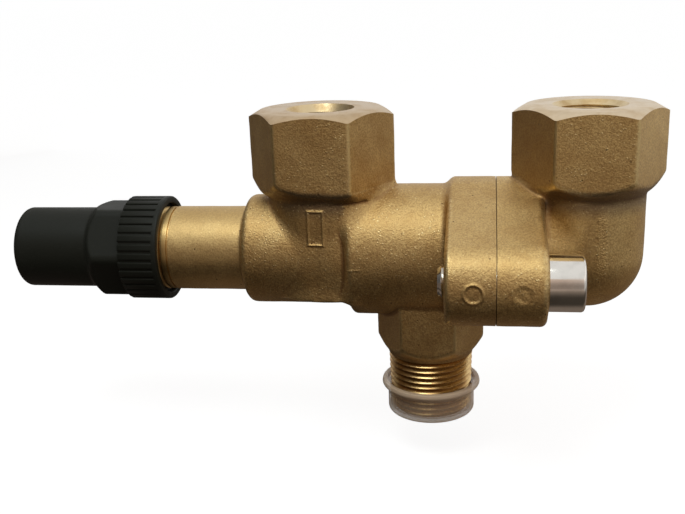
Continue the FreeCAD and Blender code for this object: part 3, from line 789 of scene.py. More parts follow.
@dataclass
class FieldMesher:
    """Turns a distance field into a closed, even mesh that lies exactly on its surface."""

    low: Triple
    high: Triple
    voxel: float = 0.56

    def build(self, name: str, shape: FieldFunction, ripple: float) -> Piece:
        """Mesh a shape.

        Args:
            name: The piece's name.
            shape: The distance field.
            ripple: How far the forging's faces wander, in millimetres.

        Returns:
            The mesh object.
        """
        axes = [np.arange(a, b, self.voxel, dtype=np.float32) for a, b in zip(self.low, self.high)]
        x, y, z = np.meshgrid(*axes, indexing="ij", sparse=True)
        values = shape(x, y, z).astype(np.float32)
        grid = openvdb.FloatGrid(3.0)
        grid.copyFromArray(np.clip(values, -3, 3))
        grid.transform = openvdb.createLinearTransform(voxelSize=self.voxel)
        found, quads = grid.convertToQuads(isovalue=0.0)
        points = found + np.array(self.low)
        points = self._settle(points, shape)
        points = points + self._wander(points, shape, ripple)
        made = mesh_object(name, points, quads)
        face_outwards(made)
        made.data.shade_smooth()
        return made

    @staticmethod
    def slope(points: Array, shape: FieldFunction, step: float = 0.02) -> Array:
        """Return the field's slope at each point, by differences.

        Args:
            points: One place a row, in millimetres.
            shape: The distance field.
            step: How far to either side the field is read.

        Returns:
            One slope a row.
        """
        found = np.empty_like(points)
        for k, shift in enumerate(np.eye(3) * step):
            ahead, back = points + shift, points - shift
            found[:, k] = (shape(*ahead.T) - shape(*back.T)) / (2 * step)
        return found

    @classmethod
    def normals(cls, points: Array, shape: FieldFunction) -> Array:
        """Return the direction out of the shape at each point."""
        slope = cls.slope(points, shape)
        return slope / np.maximum(np.linalg.norm(slope, axis=1), 1e-6)[:, None]

    def _settle(self, points: Array, shape: FieldFunction) -> Array:
        """Move points onto the surface.

        Args:
            points: One place a row, in millimetres.
            shape: The distance field.

        Returns:
            The moved points.
        """
        for _ in range(3):
            slope = self.slope(points, shape)
            size = np.maximum((slope * slope).sum(1), 0.25)
            points = points - slope * (shape(*points.T) / size)[:, None]
        return points

    def _wander(self, points: Array, shape: FieldFunction, ripple: float) -> Array:
        """Return small moves along the surface's normals, as a forging die leaves.

        Args:
            points: One place a row, in millimetres.
            shape: The distance field.
            ripple: The size of the moves, in millimetres.

        Returns:
            One move a row.
        """
        spots = [Vector(point) for point in points]
        swell = np.array([noise.noise(p / 7.0) + 0.5 * noise.noise(p / 2.6) for p in spots])
        return self.normals(points, shape) * (swell * ripple)[:, None]


GrainFunction = Callable[[Array, Array], Array]


def store_surface(
    piece: Piece, shape: FieldFunction, grain: GrainFunction, port: "Port", reach: float = 0.9
) -> None:
    """Store three numbers on each point that the finish reads.

    Args:
        piece: The cut forging.
        shape: The field it was made from.
        grain: Gives how deep the blasted grain is, from points and their normals.
        port: The outlet, under whose hexagon shade is painted into the brass: the third number.
        reach: How far to either side the field is read for "edge": -1 in creases, 1 on edges.
    """
    count = len(piece.data.vertices) * 3
    points, normals = np.empty(count), np.empty(count)
    piece.data.vertices.foreach_get("co", points)
    piece.data.vertices.foreach_get("normal", normals)
    points, normals = points.reshape(-1, 3) / MM, normals.reshape(-1, 3)
    total = np.zeros(len(points))
    for shift in np.eye(3) * reach:
        total += shape(*(points + shift).T) + shape(*(points - shift).T)
    convex = (total - 6 * shape(*points.T)) / reach
    painted_shade = port.painted_shade(points, normals)
    stored = {"edge": np.clip(convex, -1, 1), "grain": grain(points, normals), "painted_shade": painted_shade}
    for name, values in stored.items():
        layer = piece.data.attributes.new(name, "FLOAT", "POINT")
        layer.data.foreach_set("value", values.astype(np.float32))


def hexagon_grain(points: Array, normals: Array, grain: Array) -> Array:
    """Smooth the grain on the outlets' hexagons, except on their front and rear faces."""
    side = ramp(np.abs(normals[:, 0]), 0.35, 0.2)
    return np.where(points[:, 2] > HEXAGON_Z, 1.0 - 0.8 * side, grain)


def finish_group(graph: Graph, geometry: Signal, material: Material) -> None:
    """End a geometry tree: realize its instances, give them their finish and put them out.

    Args:
        graph: The tree.
        geometry: What it has made.
        material: The finish.
    """
    real = graph.node("GeometryNodeRealizeInstances", {"Geometry": geometry})
    dressed = graph.node("GeometryNodeSetMaterial", {"Geometry": real, "Material": material})
    graph.node("NodeGroupOutput", {0: dressed})


def group_sockets(tree: bpy.types.NodeTree, kind: str, labels: Iterable[str]) -> dict[str, str]:
    """Give a geometry tree its named inputs and its output.

    Args:
        tree: The tree.
        kind: The type of the inputs' sockets.
        labels: The names of the inputs.

    Returns:
        The identifier of each input, by name.
    """
    face = tree.interface
    made = {label: face.new_socket(label, in_out="INPUT", socket_type=kind).identifier for label in labels}
    face.new_socket("Geometry", in_out="OUTPUT", socket_type="NodeSocketGeometry")
    return made


NO_LIMIT = 99.0


@dataclass(frozen=True)
class Thread:
    """A right-handed thread, wound with Geometry Nodes as a skin over the piece that carries it."""

    low: float
    high: float
    low_rad: float
    high_rad: float
    pitch: float
    depth: float
    low_limit: float = NO_LIMIT
    high_limit: float = NO_LIMIT
    inside: bool = False
    around: int = 72
    rows_per_turn: int = 8

    def wind(self, name: str, spin: Spin, material: Material) -> Piece:
        """Build the skin.

        Args:
            name: The piece's name.
            spin: The axis it is wound about.
            material: Its finish.

        Returns:
            The skin's mesh object.
        """
        turns = math.ceil((self.high - self.low) / self.pitch) + 2
        sense = -1.0 if self.inside else 1.0
        sizes = {
            "Low": self.low, "High": self.high, "Low radius": self.low_rad, "High radius": self.high_rad,
            "Pitch": self.pitch, "Depth": self.depth, "Turns": float(turns), "Sense": sense,
            "Low limit": sense * self.low_limit if self.low_limit < NO_LIMIT else NO_LIMIT,
            "High limit": sense * self.high_limit if self.high_limit < NO_LIMIT else NO_LIMIT,
        }
        tree = bpy.data.node_groups.new(f"{name}_nodes", "GeometryNodeTree")
        identifiers = group_sockets(tree, "NodeSocketFloat", sizes)
        graph = Graph(tree)
        size = graph.outputs("NodeGroupInput")
        rows = turns * self.rows_per_turn + 1
        grid = graph.node("GeometryNodeMeshGrid", {
            "Size X": 1.0, "Size Y": 1.0, "Vertices X": rows, "Vertices Y": self.around + 1,
        })
        across, around, _ = graph.separate(graph.node("GeometryNodeInputPosition"))
        row, turn = (across + 0.5) * size["Turns"], around + 0.5
        free = size["Low"] + size["Pitch"] * (row - 1.0 + turn)
        height = graph.math("MAXIMUM", graph.math("MINIMUM", free, size["High"]), size["Low"])
        share = (height - size["Low"]) / (size["High"] - size["Low"])
        ridge = graph.math("ABSOLUTE", graph.math("FRACT", row + 0.001) * 2.0 - 1.0)
        root = (ridge * 1.22 - 0.1).clamped()
        crest = size["Low radius"] + (size["High radius"] - size["Low radius"]) * share
        radius = (crest - size["Sense"] * size["Depth"] * (1.0 - root)) * size["Sense"]
        radius = graph.math("MINIMUM", radius, size["Low limit"] + (height - size["Low"]))
        radius = graph.math("MINIMUM", radius, size["High limit"] + (size["High"] - height)) * size["Sense"]
        angle = turn * (2 * math.pi)
        cosine, sine = graph.math("COSINE", angle), graph.math("SINE", angle)
        place = graph.combine(radius * cosine, radius * sine, height)
        moved = graph.node("GeometryNodeSetPosition", {"Geometry": grid, "Position": place})
        merged = graph.node("GeometryNodeMergeByDistance", {"Geometry": moved, "Distance": 0.004})
        finish_group(graph, merged, material)
        skin = evaluated(name, tree, {identifiers[label]: value for label, value in sizes.items()})
        skin.data.transform(spin.matrix() @ Matrix.Scale(MM, 4))
        self._face(skin, spin)
        smooth_by_angle(skin, 28)
        return skin

    def _face(self, skin: Piece, spin: Spin) -> None:
        """Turn the skin's faces away from its metal.

        Args:
            skin: The skin.
            spin: The axis it is wound about.
        """
        line = (spin.axis.matrix() @ Vector((0, 0, 1))).normalized()
        away = 0.0
        for face in skin.data.polygons:
            arm = face.center - Vector(spin.centre) * MM
            away += (arm - line * arm.dot(line)).dot(face.normal)
        if (away < 0) != self.inside:
            skin.data.flip_normals()


def evaluated(name: str, tree: bpy.types.NodeTree, values: dict[str, float]) -> Piece:
    """Run a geometry tree once and keep its result as a plain mesh.

    Args:
        name: The piece's name.
        tree: The tree.
        values: The modifier's inputs by identifier.

    Returns:
        A new mesh object.
    """
    holder = linked(f"{name}_holder", bpy.data.meshes.new(f"{name}_holder"))
    modifier = holder.modifiers.new("nodes", "NODES")
    modifier.node_group = tree
    for identifier, value in values.items():
        modifier[identifier] = value
    graph = bpy.context.evaluated_depsgraph_get()
    mesh = bpy.data.meshes.new_from_object(holder.evaluated_get(graph))
    bpy.data.objects.remove(holder)
    mesh.name = name
    return linked(name, mesh)


# The valve's own sizes

PARTING_X = 20.4
FLANGE_LEFT_X = 6.2
FLANGE_RIGHT_X = 34.2
FLANGE_TOP_Z = 60.0
HEXAGON_Z = 74.5
EAR_Y = 33.2
PARTING_GAP = 0.1
SEAT_RAD = 11.2
PIPE_PITCH = 1.814
DIE_RIPPLE = 0.06


def parting_tool(face: float, away: float, material: Material) -> Piece:
    """Return the cutter that faces a forging at the joint and clears what lies beyond."""
    return turning("parting_tool", rod(face, away, 60), MAIN, material, 64)


@dataclass(frozen=True)
class Port:
    """One outlet: a forged hexagon with a turned face, countersink and tapped core."""

    name: str
    x: float
    mouth_rad: float
    mouth_len: float
    top: float = 97.3
    under: float = 71.4
    under_len: float = 4.9
    flats: float = 39.2
    corner_rad: float = 22.4
    corner_round: float = 0.7
    branch_rad: float = 17.0
    face_rad: float = 18.7
    bevel_len: float = 2.1
    core_rad: float = 9.13
    thread_len: float = 17.5
    thread_deep: float = 1.15
    mouth_step: float = 0.3
    under_full: float = 0.0
    left_full: float = 0.0
    passage_rad: float = 8.0

    def spin(self) -> Spin:
        """Return the port's own axis."""
        return Spin(Axis.Z, (self.x, 0, 0))

    def blank(self, x: Array, y: Array, z: Array) -> Array:
        """Return the distance from the forged hexagon, before it is faced.

        Args:
            x: Places along X.
            y: Places along Y.
            z: Places along Z.

        Returns:
            The distance in millimetres, negative inside.
        """
        bar_part = hexagon(x - self.x, y, self.flats, self.corner_round)
        across = np.hypot(x - self.x, y)
        high = (self.corner_rad, self.under + self.under_len)
        under = cone_below(across, z, (self.branch_rad, self.under), high)
        under = under - self.under_full * ramp(x - self.x, 2.0, 10.0)
        under = under - self.left_full * ramp(x, self.x - 11.0, -8.0)
        below = self.under - z
        top = z - self.top - 2.0
        sides = overlap(bar_part, under, 0.9)
        return np.maximum(np.maximum(sides, below), top)

    def painted_shade(self, points: Array, normals: Array) -> Array:
        """Return the painted shade at each point: 1 just under the hexagon, where the hexagon shades the
        brass.

        Args:
            points: One place a row, in millimetres.
            normals: The direction out of the surface at each point.

        Returns:
            A number from 0 to 1 for each point.
        """
        # Painted shade: strongest just below the hexagon's underside, and half as strong on the elbow
        # hexagon's faces that look left.
        across = np.hypot(points[:, 0] - self.x, points[:, 1])
        below = (self.under - 1.5 - points[:, 2]) / 4.0
        above = (points[:, 2] - self.under - self.under_len + 1.5) / 1.3
        near = np.clip(1.0 - np.maximum(below, above), 0, 1) * ramp(across, self.corner_rad + 1.5, -1.5)
        inner = 0.5 * ramp(-normals[:, 0], 0.6, 0.2) * (points[:, 2] > self.under) * (self.x > PARTING_X)
        level, down = np.clip(1.0 - normals[:, 2] * 2.0, 0, 1), np.clip(-normals[:, 2] * 3.0, 0, 1)
        facing = np.where(across < self.branch_rad + 1.5, level, down)
        return np.maximum(near * facing, inner)

    def tools(self, turned: Material, inside: Material) -> list[Piece]:
        """Return the lathe's cutters: the face with its bevel, and the bore.

        Args:
            turned: The finish of the face and bevel.
            inside: The finish of the bore.

        Returns:
            Closed cutters.
        """
        slope = self.bevel_len / (self.corner_rad - self.face_rad)
        far = self.corner_rad + 4.0
        face = turning(f"{self.name}_face_tool", [
            (self.top + 6, 0), (self.top, 0), (self.top, self.face_rad),
            (self.top - (far - self.face_rad) * slope, far), (self.top + 6, far),
        ], self.spin(), turned, 144)
        low = self.top - self.thread_len
        root = self.core_rad + self.thread_deep + 0.03
        bore = turning(f"{self.name}_bore_tool", [
            (AXIS_Z, 0), (AXIS_Z, self.passage_rad), (low, self.passage_rad),
            (low, root), (self.top - self.mouth_len - 0.9, root),
            (self.top - self.mouth_len, self.core_rad + self.mouth_step), (self.top, self.mouth_rad),
            (self.top + 3, self.mouth_rad + 3), (self.top + 3, 0),
        ], self.spin(), inside, 96)
        return [face, bore]

    def thread(self, material: Material) -> Piece:
        """Return the skin of the port's thread, from its countersink down.

        Args:
            material: Its finish.

        Returns:
            The skin.
        """
        wound = Thread(
            self.top - self.thread_len, self.top - self.mouth_len, self.core_rad, self.core_rad, PIPE_PITCH,
            self.thread_deep, high_limit=self.core_rad + self.mouth_step, inside=True, around=96,
        )
        return wound.wind(f"{self.name}_thread", self.spin(), material)


@dataclass(frozen=True)
class Flange:
    """Half of the two-eared joint: its outline is a disc with an ear at the front and rear."""

    disc_rad: float = 22.7
    ear_rad: float = 12.2
    rim_round: float = 1.9

    def blank(self, x: Array, y: Array, up: Array, left: float, right: float) -> Array:
        """Return the distance from the plate between two stations."""
        return plate(two_ears(y, up, self.disc_rad, self.ear_rad, EAR_Y), x, left, right, self.rim_round)


@dataclass(frozen=True)
class RaisedMark:
    """A low mark on a forging: a function of place gives how far the surface is moved out."""

    middle: Triple
    reach: float
    height: Callable[[Array], Array]


def soft_ridge(distance: Array, wide: float) -> Array:
    """Return the height of a soft ridge, 1 on its line."""
    return np.exp(-((distance / wide) ** 2))


def ring_mark(middle: Triple, ring_rad: float, ring_wide: float, rise: float, dish: float) -> RaisedMark:
    """Return a round mark facing -Y: a rounded ring round a shallow dish.

    Args:
        middle: The mark's centre.
        ring_rad: The ring's radius.
        ring_wide: Half the ring's width.
        rise: How far the ring stands out.
        dish: How deep the dish lies.

    Returns:
        The mark.
    """

    def height(points: Array) -> Array:
        """Return how far each point is moved out."""
        far = np.hypot(points[:, 0] - middle[0], points[:, 2] - middle[2])
        return soft_ridge(far - ring_rad, ring_wide) * rise - ramp(far, ring_rad, -0.7) * dish

    return RaisedMark(middle, ring_rad + 1.6, height)


def dent_mark(middle: Triple, size: Point, deep: float) -> RaisedMark:
    """Return an uneven shallow dent facing -Y, as a worn die leaves.

    Args:
        middle: The dent's centre.
        size: Half its width and height.
        deep: Its depth.

    Returns:
        The mark.
    """

    def height(points: Array) -> Array:
        """Return how far each point is moved out.

        Args:
            points: One place a row, in millimetres.

        Returns:
            A height for each point.
        """
        far = np.hypot((points[:, 0] - middle[0]) / size[0], (points[:, 2] - middle[2]) / size[1])
        rough = np.array([noise.noise(Vector(p) / 1.5) for p in points])
        inner = np.clip((1.0 - far + rough * 0.2) / 0.5, 0, 1)
        inner = inner * inner * (3 - 2 * inner)
        return rough * 0.14 * np.clip(1.6 - far, 0, 1) - inner * deep

    return RaisedMark(middle, max(size) + 1.6, height)


def frame_mark(middle: Triple, size: Point, rim: float, rise: float) -> RaisedMark:
    """Return a low upright frame with nothing in it, facing -Y.

    Args:
        middle: The frame's centre.
        size: Its width and height.
        rim: The rim's width.
        rise: How far the rim stands out.

    Returns:
        The mark.
    """

    def height(points: Array) -> Array:
        """Return how far each point is moved out.

        Args:
            points: One place a row, in millimetres.

        Returns:
            A height for each point.
        """
        side = np.abs(points[:, 0] - middle[0]) - size[0] / 2
        top = np.abs(points[:, 2] - middle[2]) - size[1] / 2
        edge = np.maximum(side, top) + rim / 2
        return soft_ridge(edge, rim * 0.62) * rise + np.where(edge < 0, 0.05, 0.0)

    return RaisedMark(middle, max(size) / 2 + 1.4, height)


def line_mark(start: Triple, end: Triple, rise: float, wide: float) -> RaisedMark:
    """Return a short raised line facing -Y, where the die's halves met.

    Args:
        start: One end.
        end: The other end.
        rise: How far it stands out.
        wide: Half its width.

    Returns:
        The mark.
    """
    first, last = np.array(start), np.array(end)

    def height(points: Array) -> Array:
        """Return how far each point is moved out.

        Args:
            points: One place a row, in millimetres.

        Returns:
            A height for each point.
        """
        run = last - first
        share = np.clip(((points - first) @ run) / (run @ run), 0, 1)
        gap = points - first - share[:, None] * run
        far = np.hypot(gap[:, 0], gap[:, 2])
        return soft_ridge(far, wide) * rise

    middle = tuple((first + last) / 2)
    return RaisedMark(middle, float(np.linalg.norm(last - first)) / 2 + 1.2, height)


def raise_marks(piece: Piece, shape: FieldFunction, marks: Sequence[RaisedMark]) -> None:
    """Divide the mesh finely round each mark and move it to the mark's height.

    Args:
        piece: An even mesh that lies on the field.
        shape: The field.
        marks: The marks, each on a surface that faces -Y.
    """
    form = bmesh.new()
    form.from_mesh(piece.data)
    for mark in marks:
        middle = Vector(mark.middle) * MM
        reach = mark.reach * MM

        def near() -> list[bmesh.types.BMVert]:
            """Return the points within the mark's reach on surfaces that face -Y."""
            return [v for v in form.verts if (v.co - middle).length < reach and v.normal.y < -0.2]

        for _ in range(2):
            inside = set(near())
            edges = [e for e in form.edges if e.verts[0] in inside and e.verts[1] in inside]
            bmesh.ops.subdivide_edges(form, edges=edges, cuts=1, use_grid_fill=True)
            form.normal_update()
        points = np.array([v.co for v in near()]) / MM
        fade = ramp(np.linalg.norm(points - np.array(mark.middle), axis=1), mark.reach, -0.8)
        lift = FieldMesher.normals(points, shape) * (mark.height(points) * fade)[:, None]
        for vertex, point in zip(near(), points + lift):
            vertex.co = Vector(point) * MM
    bmesh.ops.recalc_face_normals(form, faces=form.faces)
    form.to_mesh(piece.data)
    form.free()
    piece.data.shade_smooth()


@dataclass(frozen=True)
class Palette:
    """The finishes of the valve's pieces, made once."""

    forged: Material
    elbow: Material
    left_face: Material
    right_face: Material
    turned_x: Material
    bore: Material
    thread: Material
    steel: Material
    spindle_steel: Material
    cap: Material
    milky: Material
    seal: Material
    packing: Material
    gasket: Material

    @classmethod
    def mixed(cls) -> "Palette":
        """Make every finish.

        Returns:
            The finishes.
        """
        elbow = ForgedBrass(linear(222, 192, 131), linear(206, 173, 114), linear(158, 120, 76))
        left_face = TurnedBrass(linear(203, 178, 142), linear(180, 148, 108))
        right_face = TurnedBrass(linear(221, 201, 170), linear(196, 168, 126))
        along_x = TurnedBrass(linear(212, 180, 120), linear(176, 138, 88), 0.16, 0.36)
        thread = TurnedBrass(linear(228, 194, 134), linear(190, 146, 90), 0.1, 0.24, 12.83, 0.0313)
        return cls(
            forged=ForgedBrass().material("forged_brass"),
            elbow=elbow.material("elbow_brass"),
            left_face=left_face.material("turned_brass_left_face", UPRIGHT, 0.35),
            right_face=right_face.material("turned_brass_right_face", UPRIGHT, 0.35),
            turned_x=along_x.material("turned_brass_bar", MAIN, 0.6),
            bore=TurnedBrass().material("turned_brass_bore", UPRIGHT, 0.8),
            thread=thread.material("cut_brass_thread", UPRIGHT, 0.8),
            steel=BrightSteel().material("plated_steel"),
            spindle_steel=BrightSteel(linear(178, 176, 172), 0.3).material("spindle_steel"),
            cap=BlackPlastic().material("black_plastic"),
            milky=MilkyPlastic().material("clear_plastic"),
            seal=PlainFinish(linear(226, 224, 214), 0.0, 0.45).material("white_seal"),
            packing=PlainFinish(linear(58, 56, 54), 0.0, 0.7).material("packing_cord"),
            gasket=PlainFinish(linear(96, 104, 92), 0.0, 0.8).material("gasket_fibre"),
        )


@dataclass
class ValveBody:
    """The forged body: neck, shoulder, barrel, left outlet, inlet and its half of the flange."""

    palette: Palette
    port: Port = Port("left_port", -33.1, 10.6, 2.3, under_full=2.2, left_full=1.1)
    flange: Flange = Flange()
    neck_rad: float = 13.5
    neck_end: float = -94.5
    thread_end: float = -83.9
    groove_low: float = -82.0
    groove_high: float = -81.5
    groove_rad: float = 12.95
    land_rad: float = 13.36
    box_rad: float = 10.0
    box_end: float = -77.0
    stem_rad: float = 6.06
    stem_end: float = -50.0
    run_rad: float = 9.5
    seat_x: float = -14.5
    chamber_rad: float = 14.5
    recess_x: float = 18.9
    recess_rad: float = 17.9
    shoulder_rad: float = 17.35
    shoulder_left: float = -57.4
    barrel_rad: float = 20.6
    barrel_left: float = -24.1
    shoulder_round: float = 2.4
    barrel_round: float = 2.0
    neck_fillet: float = 1.0
    barrel_fillet: float = 1.3
    flange_fillet: float = 2.1
    inlet_fillet: float = 0.8
    web_swell: float = 1.7
    inlet_flats: float = 29.3
    inlet_corner: float = 16.7
    inlet_hex_low: float = 23.2
    inlet_thread_high: float = 19.8
    inlet_thread_rad: float = 13.45
    inlet_end_rad: float = 12.83
    inlet_bore: float = 9.5
    inlet_near: float = 18.0
    thread_deep: float = 1.2

    def shape(self, x: Array, y: Array, z: Array) -> Array:
        """Return the distance from the forging, before any turning.

        Args:
            x: Places along X.
            y: Places along Y.
            z: Places along Z.

        Returns:
            The distance in millimetres, negative inside.
        """
        up = z - AXIS_Z
        across = np.hypot(y, up)
        neck = bar(x, across, self.neck_end - 3, -30, self.neck_rad, 0.5)
        shoulder = bar(x, across, self.shoulder_left, -12, self.shoulder_rad, self.shoulder_round)
        barrel = bar(x, across, self.barrel_left, 15, self.barrel_rad, self.barrel_round)
        turned = union(union(neck, shoulder, self.neck_fillet), barrel, self.barrel_fillet)
        plate_part = self.flange.blank(x, y, up, FLANGE_LEFT_X, PARTING_X + 4)
        main = union(turned, plate_part, self.flange_fillet)
        swell = self.web_swell * ramp(x, self.port.x, 10.0)
        branch = bar(z, np.hypot(x - self.port.x, y), 40, 76, self.port.branch_rad + swell, 0.5)
        hexagon_part = self.port.blank(x, y, z)
        main = union(main, branch, 1.3 + 1.9 * ramp(x, -34.0, 9.0))
        main = union(main, hexagon_part, 0.9 + 1.5 * ramp(x, -19.0, 6.0))
        return union(main, self._inlet(x, y, z), self.inlet_fillet)

    def _inlet(self, x: Array, y: Array, z: Array) -> Array:
        """Return the distance from the inlet's hexagon, cone and thread blank.

        Args:
            x: Places along X.
            y: Places along Y.
            z: Places along Z.

        Returns:
            The distance in millimetres, negative inside.
        """
        across = np.hypot(x, y)
        sides = hexagon(x, y, self.inlet_flats, 0.5)
        low = (self.inlet_thread_rad, self.inlet_thread_high)
        cone = cone_below(across, z, low, (self.inlet_corner, self.inlet_hex_low))
        ends = np.maximum(z - AXIS_Z, self.inlet_thread_high - 3 - z)
        hexagon_part = np.maximum(overlap(sides, cone, 0.7), ends)
        blank = bar(z, across, -2.0, AXIS_Z, self.inlet_thread_rad - 0.05, 0.4)
        return union(hexagon_part, blank, 1.0)

    def grain(self, points: Array, normals: Array) -> Array:
        """Return how deep the blasted grain is at each point: 1 on the barrel's front.

        Args:
            points: One place a row, in millimetres.
            normals: The direction out of the surface at each point.

        Returns:
            A number for each point.
        """
        x, z = points[:, 0], points[:, 2]
        grain = np.where(x < self.shoulder_left, 0.35, 1.0)
        grain = np.where((x > FLANGE_LEFT_X + 1.3) & (z > FLANGE_TOP_Z), 0.45, grain)
        grain = grain * np.where(np.abs(x) < self.inlet_near, 0.35 + 0.65 * ramp(z, 27.0, 9.0), 1.0)
        return hexagon_grain(points, normals, grain)

    def marks(self) -> list[RaisedMark]:
        """Return the forging's marks: the ear's round mark, the bare frame and a short flash line.

        Returns:
            The marks.
        """
        front = -(EAR_Y + self.flange.ear_rad)
        return [
            ring_mark((14.2, front, AXIS_Z + 0.3), 2.6, 0.45, 0.3, 0.16),
            frame_mark((self.port.x, -self.port.branch_rad, AXIS_Z + 10.9), (5.2, 11.0), 0.6, 0.34),
            line_mark((-23.6, -20.6, AXIS_Z - 1.3), (-19.6, -20.6, AXIS_Z - 1.0), 0.1, 0.3),
        ]

    def tools(self) -> list[Piece]:
        """Return every turned cutter of the body.

        Returns:
            Closed cutters.
        """
        face = self.port.tools(self.palette.left_face, self.palette.bore)
        root = self.neck_rad - self.thread_deep
        neck = turning("neck_tool", [
            (-100, 0), (self.neck_end, 0), (self.neck_end, root - 0.9),
            (self.neck_end + 0.9, root), (self.thread_end, root), (self.thread_end, self.land_rad),
            (self.groove_low, self.land_rad), (self.groove_low + 0.1, self.groove_rad),
            (self.groove_high - 0.1, self.groove_rad), (self.groove_high + 0.15, self.land_rad - 0.01),
            (self.groove_high + 0.35, 15.5), (-100, 15.5),
        ], MAIN, self.palette.turned_x, 128)
        inner = turning("main_bore_tool", [
            (-101, 0), (-101, self.box_rad), (self.box_end, self.box_rad), (self.box_end, self.stem_rad),
            (self.stem_end, self.stem_rad), (self.stem_end, self.run_rad), (self.seat_x, self.run_rad),
            (self.seat_x, SEAT_RAD), (self.seat_x - 1, SEAT_RAD), (self.seat_x - 1, self.chamber_rad),
            (self.recess_x, self.chamber_rad), (self.recess_x, self.recess_rad),
            (26, self.recess_rad), (26, 0),
        ], MAIN, self.palette.turned_x, 96)
        parting = parting_tool(PARTING_X - PARTING_GAP, PARTING_X + 9.6, self.palette.turned_x)
        low_root = self.inlet_end_rad - self.thread_deep
        high_root = self.inlet_thread_rad - self.thread_deep
        inlet = turning("inlet_tool", [
            (-4, 0), (0, 0), (0, low_root - 0.4), (0.4, low_root),
            (self.inlet_thread_high - 1.0, high_root), (self.inlet_thread_high - 0.2, 16.0),
            (self.inlet_thread_high - 0.2, 18), (-4, 18),
        ], UPRIGHT, self.palette.thread, 128)
        section = rod(-5, AXIS_Z, self.inlet_bore)
        passage = turning("inlet_bore_tool", section, UPRIGHT, self.palette.bore, 96)
        return [*face, neck, inner, parting, inlet, passage]

    def threads(self) -> list[Piece]:
        """Return the skins of the inlet's, the neck's and the port's thread.

        Returns:
            The skins.
        """
        inlet = Thread(
            0.0, self.inlet_thread_high + 0.25, self.inlet_end_rad, self.inlet_thread_rad, PIPE_PITCH,
            self.thread_deep, low_limit=self.inlet_end_rad - self.thread_deep, around=120,
        ).wind("inlet_thread", UPRIGHT, self.palette.thread)
        neck = Thread(
            self.neck_end, self.thread_end + 0.3, self.neck_rad, self.neck_rad, 2.0, self.thread_deep,
            low_limit=self.neck_rad - self.thread_deep - 0.9, around=96,
        ).wind("neck_thread", MAIN, self.palette.turned_x)
        return [inlet, neck, self.port.thread(self.palette.bore)]

    def build(self) -> list[Piece]:
        """Build the forging and its threads.

        Returns:
            The finished pieces, which ride on the valve.
        """
        mesher = FieldMesher((-99.0, -49.0, -3.5), (27.0, 49.0, 101.5))
        forging = mesher.build("forged_body", self.shape, DIE_RIPPLE)
        raise_marks(forging, self.shape, self.marks())
        dress(forging, self.palette.forged)
        cut(forging, self.tools())
        store_surface(forging, self.shape, self.grain, self.port)
        smooth_by_angle(forging, 32)
        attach(forging, "valve")
        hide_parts("valve_body", "valve_body_chamber", "valve_body_inlet")
        threads = self.threads()
        for skin in threads:
            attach(skin, "valve")
        return [forging, *threads]


